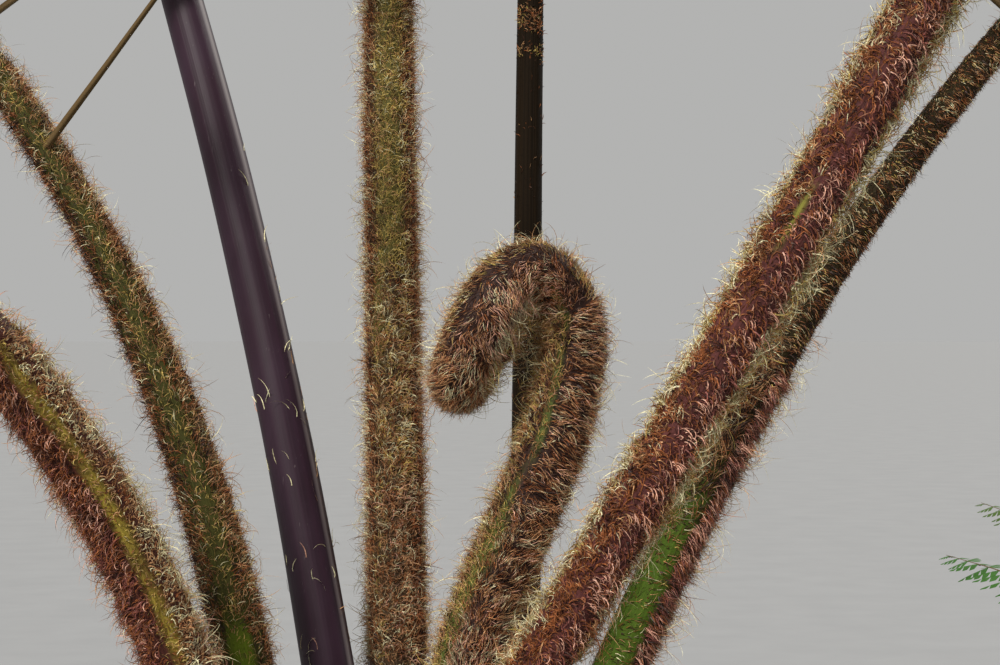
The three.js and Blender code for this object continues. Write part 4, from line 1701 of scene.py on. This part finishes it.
@dataclass
class Trunk:
    """The trunk: a flared foot, matted vertical roots, old stalk stubs and a domed, hairy head."""

    rng: np.random.Generator
    hair: HairField
    profile: Pairs = (  # (height, radius)
        (0, 205), (40, 178), (110, 154), (220, 138), (400, 127), (620, 121), (840, 117),
        (1040, 115), (1150, 117), (1205, 118), (1235, 108), (1258, 84), (1272, 50), (1280, 6),
    )
    calm: Pairs = ((0, 0), (30, 1), (1222, 1), (1262, 0))  # (height, share of the ridges' relief)
    sway: float = 16.0
    lobes: int = 5
    lobe_depth: float = 14.0
    lobe_fade: float = 260.0
    columns: int = 170
    rings: int = 165
    stubs: int = 20
    stub_heights: tuple[float, float] = (820.0, 1128.0)
    stub_turn: float = 137.5  # degrees from one stub to the next
    stub_lean: float = 52.0  # degrees up from level

    def surface(self, z: Array, angle: Array, off: Array | float = 0.0) -> Array:
        """Places on the trunk, or off it. Its axis bows sideways by sway * sin(pi * z / crown height).

        The radius is the profile's, plus root lobes that fade with the square of height.

        Args:
            z: heights.
            angle: angles round the axis in radians.
            off: distances off the surface.

        Returns:
            The places.
        """
        bow = self.sway * np.sin(np.pi * np.minimum(z, CROWN_HEIGHT) / CROWN_HEIGHT)
        fade = np.maximum(0, 1 - z / self.lobe_fade) ** 2
        radius = read(self.profile, z) + self.lobe_depth * fade * np.cos(self.lobes * angle) + off
        return level(angle) * np.asarray(radius)[..., None] + np.stack([bow, 0 * bow, z], -1)

    def relief(self, z: Array, angle: Array) -> Array:
        """Ridges of matted roots: the least of several wandering waves round the trunk.

        Args:
            z: heights.
            angle: angles round the axis in radians.

        Returns:
            Heights off the surface in millimetres.
        """
        wander = 0.5 * np.sin(z / 97) + 0.3 * np.sin(z / 41 + 1.7 * np.cos(3 * angle))
        waves = ((9, 2.1, 0.3), (14, -1.4, 1.9), (23, 3.0, 4.0))  # how many, how far they wander, start
        ridge = 1 - np.min([np.abs(np.sin(k * angle + w * wander + p)) for k, w, p in waves], axis=0)
        fine = np.sin(61 * angle + 5 * wander) * np.sin(z / 13 + 7 * np.sin(5 * angle))
        return 4.2 * (ridge - 0.75) + 1.1 * fine

    def build(self) -> None:
        """Builds the skin, with rings at even steps down its profile, and all that grows on it."""
        profile = np.array(self.profile, float)
        slope = run_of(profile)
        run = np.linspace(0, slope[-1], self.rings)
        angle = np.linspace(0, 2 * np.pi, self.columns, endpoint=False)
        z, angle = np.meshgrid(np.interp(run, slope, profile[:, 0]), angle, indexing="ij")
        skin = self.surface(z, angle, self.relief(z, angle) * read(self.calm, z)).reshape(-1, 3)
        piece = piece_of("trunk_skin", *closed_tube(skin, self.columns, run))
        finish = FibreFinish("trunk_fibre_matted", (0.05, 0.027, 0.016), (0.15, 0.09, 0.052))
        dress(piece, finish.material(), ["trunk"])
        self.hanging_roots()
        self.old_stalks()
        self.head_hair()

    def hanging_roots(self, count: int = 520, steps: int = 12, sides: int = 3) -> None:
        """Thin roots that wander down over the skin, each a three-sided tube with a fading wave.

        Args:
            count: how many roots.
            steps: rings in a root.
            sides: points in a ring.
        """
        rng = self.rng
        top = rng.uniform(150, 1190, (count, 1))
        fall = rng.uniform(120, 420, (count, 1))
        start, drift = rng.uniform(0, 2 * np.pi, (count, 1)), rng.normal(0, 0.05, (count, 2))
        t = np.linspace(0, 1, steps)[None]
        z = np.maximum(top - fall * t, 3)
        angle = start + drift[:, :1] * np.sin(3 * t) + drift[:, 1:] * np.sin(9 * t + start)
        lift = rng.uniform(1.5, 5, (count, 1)) * np.sin(np.pi * np.clip(t, 0.04, 0.96))
        centre = self.surface(z, angle, self.relief(z, angle) + lift - 1)
        along = unit(np.gradient(centre, axis=1))
        across = unit(np.cross(along, centre - UP * centre[..., 2:]))
        thick = rng.uniform(1.1, 3.2, (count, 1)) * (1 - 0.6 * t)
        centre, across, lift = (a.reshape(-1, 3) for a in (centre, across, np.cross(along, across)))
        v = swept(centre, across, lift, thick.ravel(), sides)
        v[:, 2] = np.maximum(v[:, 2], 1)
        piece = piece_of("hanging_roots", v * MM, repeated(ring_faces(steps, sides), count, steps * sides))
        finish = FibreFinish("hanging_root", (0.06, 0.032, 0.02), (0.2, 0.12, 0.07))
        dress(piece, finish.material())

    def old_stalks(self, sides: int = 14) -> None:
        """Stubs of shed stalks on a spiral up the trunk, with hollow ragged ends.

        Args:
            sides: points in a ring of a stub.
        """
        run = np.array([-26, -8, 12, 32, 46, 52, 48, 40.0])
        wide = np.array([15, 15, 13.5, 11.5, 10.5, 9.5, 7.5, 4])
        torn = np.repeat([0, 0, 0, 0, 2, 5, 0, 0.0], sides)[:, None]
        lean = np.radians(self.stub_lean)
        low, high = self.stub_heights
        parts = []
        for i in range(self.stubs):
            turn = np.radians(self.stub_turn * i)
            out = level(turn)
            way = out * np.cos(lean) + UP * np.sin(lean)
            centre = self.surface(low + (high - low) * i / (self.stubs - 1), turn) + way * run[:, None]
            across = np.cross(UP, out)
            across, lift = (np.tile(a, (len(run), 1)) for a in (across, np.cross(way, across)))
            rag = 0.09 * self.rng.normal(size=(len(run), sides)) * np.linspace(0.2, 1, len(run))[:, None]
            v = swept(centre, across, lift, wide[:, None] * (1 + rag), sides)
            v = v + way * torn * self.rng.uniform(-1, 1, (len(v), 1))
            parts.append(closed_tube(v, sides, run)[:2])
        finish = FibreFinish("old_stalk", (0.035, 0.02, 0.015), (0.13, 0.085, 0.06))
        dress(piece_of("old_stalks", *joined(parts)), finish.material())

    def head_hair(self, count: int = 7000) -> None:
        """Long soft hair over the head, between the stalks.

        Args:
            count: how many hairs.
        """
        rng = self.rng
        kind = HairKind(26, 0.7, 5, 50, 120, 0, 0.3, 1)
        z = 1190 + 85 * rng.uniform(size=count) ** 0.7
        angle = rng.uniform(0, 2 * np.pi, count)
        out, root = level(angle), self.surface(z, angle, -1)
        way = unit(out * rng.uniform(0.2, 0.9, (count, 1)) + UP + rng.normal(0, 0.25, (count, 3)))
        tint = rng.choice(len(Tint), count, p=blend("dark 20 mauve 6 rust 34 tan 24 gold 16"))
        self.hair.add(kind, Strands(root, out, way, out, root + way * 20, rng.uniform(12, 34, count), tint))


# Stage


@dataclass(frozen=True)
class Studio:
    """A pale floor, soft lights and the camera where the photo was taken, in metres."""

    lens: float = 86.4
    sensor: float = 36.0
    eye: Triple = (0.0375, -1.0, 1.4865)
    floor_reach: float = 400.0
    floor_sides: int = 64
    sky: float = 0.45

    def floor(self) -> None:
        """A wide plain disc at ground level."""
        n = self.floor_sides
        rim = level(np.linspace(0, 2 * np.pi, n, endpoint=False)) * self.floor_reach
        j = np.arange(n)
        faces = np.stack([0 * j, j + 1, (j + 1) % n + 1], -1)
        floor = piece_of("studio_floor", np.concatenate([[[0, 0, 0]], rim]), faces)
        paint = Nodes("studio_floor_paint")
        color = paint.ramp(paint.noise(3, 3), (0.3, (0.264, 0.267, 0.272)), (0.7, (0.282, 0.285, 0.29)))
        floor.data.materials.append(paint.finish(color, 0.85, 0.2))
        floor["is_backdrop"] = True

    def sun(self, name: str, energy: float, spread: float, turn: Triple, tint: Color) -> None:
        """A broad distant light.

        Args:
            name: its name.
            energy: its strength.
            spread: its breadth in degrees.
            turn: its turn about each axis in degrees.
            tint: its colour.
        """
        light = bpy.data.lights.new(name, "SUN")
        light.energy = energy
        light.angle = np.radians(spread)
        light.color = tint
        lamp = bpy.data.objects.new(name, light)
        lamp.rotation_euler = np.radians(turn)
        bpy.context.scene.collection.objects.link(lamp)

    def build(self) -> None:
        """Floor, sky light, two suns and the camera."""
        self.floor()
        scene = bpy.context.scene
        world = bpy.data.worlds.new("studio_sky")
        world.use_nodes = True
        background = world.node_tree.nodes["Background"].inputs
        background["Color"].default_value = (1, 1, 0.985, 1)
        background["Strength"].default_value = self.sky
        scene.world = world
        scene.view_settings.view_transform = "Standard"
        self.sun("key_light", 3.0, 12, (50, 0, -30), (1, 0.97, 0.92))
        self.sun("rim_light", 2.2, 14, (-50, 0, -46), (1, 0.98, 0.93))
        data = bpy.data.cameras.new("viewpoint")
        data.lens = self.lens
        data.sensor_width = self.sensor
        data.clip_start = 0.02
        data.clip_end = 1000
        camera = bpy.data.objects.new("viewpoint", data)
        camera.location = self.eye
        camera.rotation_euler = (np.pi / 2, 0, 0)
        scene.collection.objects.link(camera)
        scene.camera = camera


def main() -> None:
    """Builds the fern round its solids."""
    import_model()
    fronds = RISING + [frond for ring in RINGS for frond in ring.fronds()]
    paths = [FrondPath(frond) for frond in fronds]
    hair = HairField(np.random.default_rng(SEED))
    Limbs(paths, hair).build()
    Crozier(hair).build()
    Buds(hair).build()
    Trunk(np.random.default_rng(SEED + 1), hair).build()
    hair.build()
    groups = {"rising": list(range(len(RISING))), "outer": list(range(len(RISING), len(fronds)))}
    Foliage(paths, fitted_leaflets(paths), np.random.default_rng(SEED + 2)).build(groups)
    Studio().build()
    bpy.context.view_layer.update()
    total = sum(len(o.data.loops) - 2 * len(o.data.polygons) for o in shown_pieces())
    log.info("triangles in all: %d", total)


if __name__ == "__main__":
    logging.basicConfig(level=logging.INFO, format="%(name)s %(message)s")
    main()
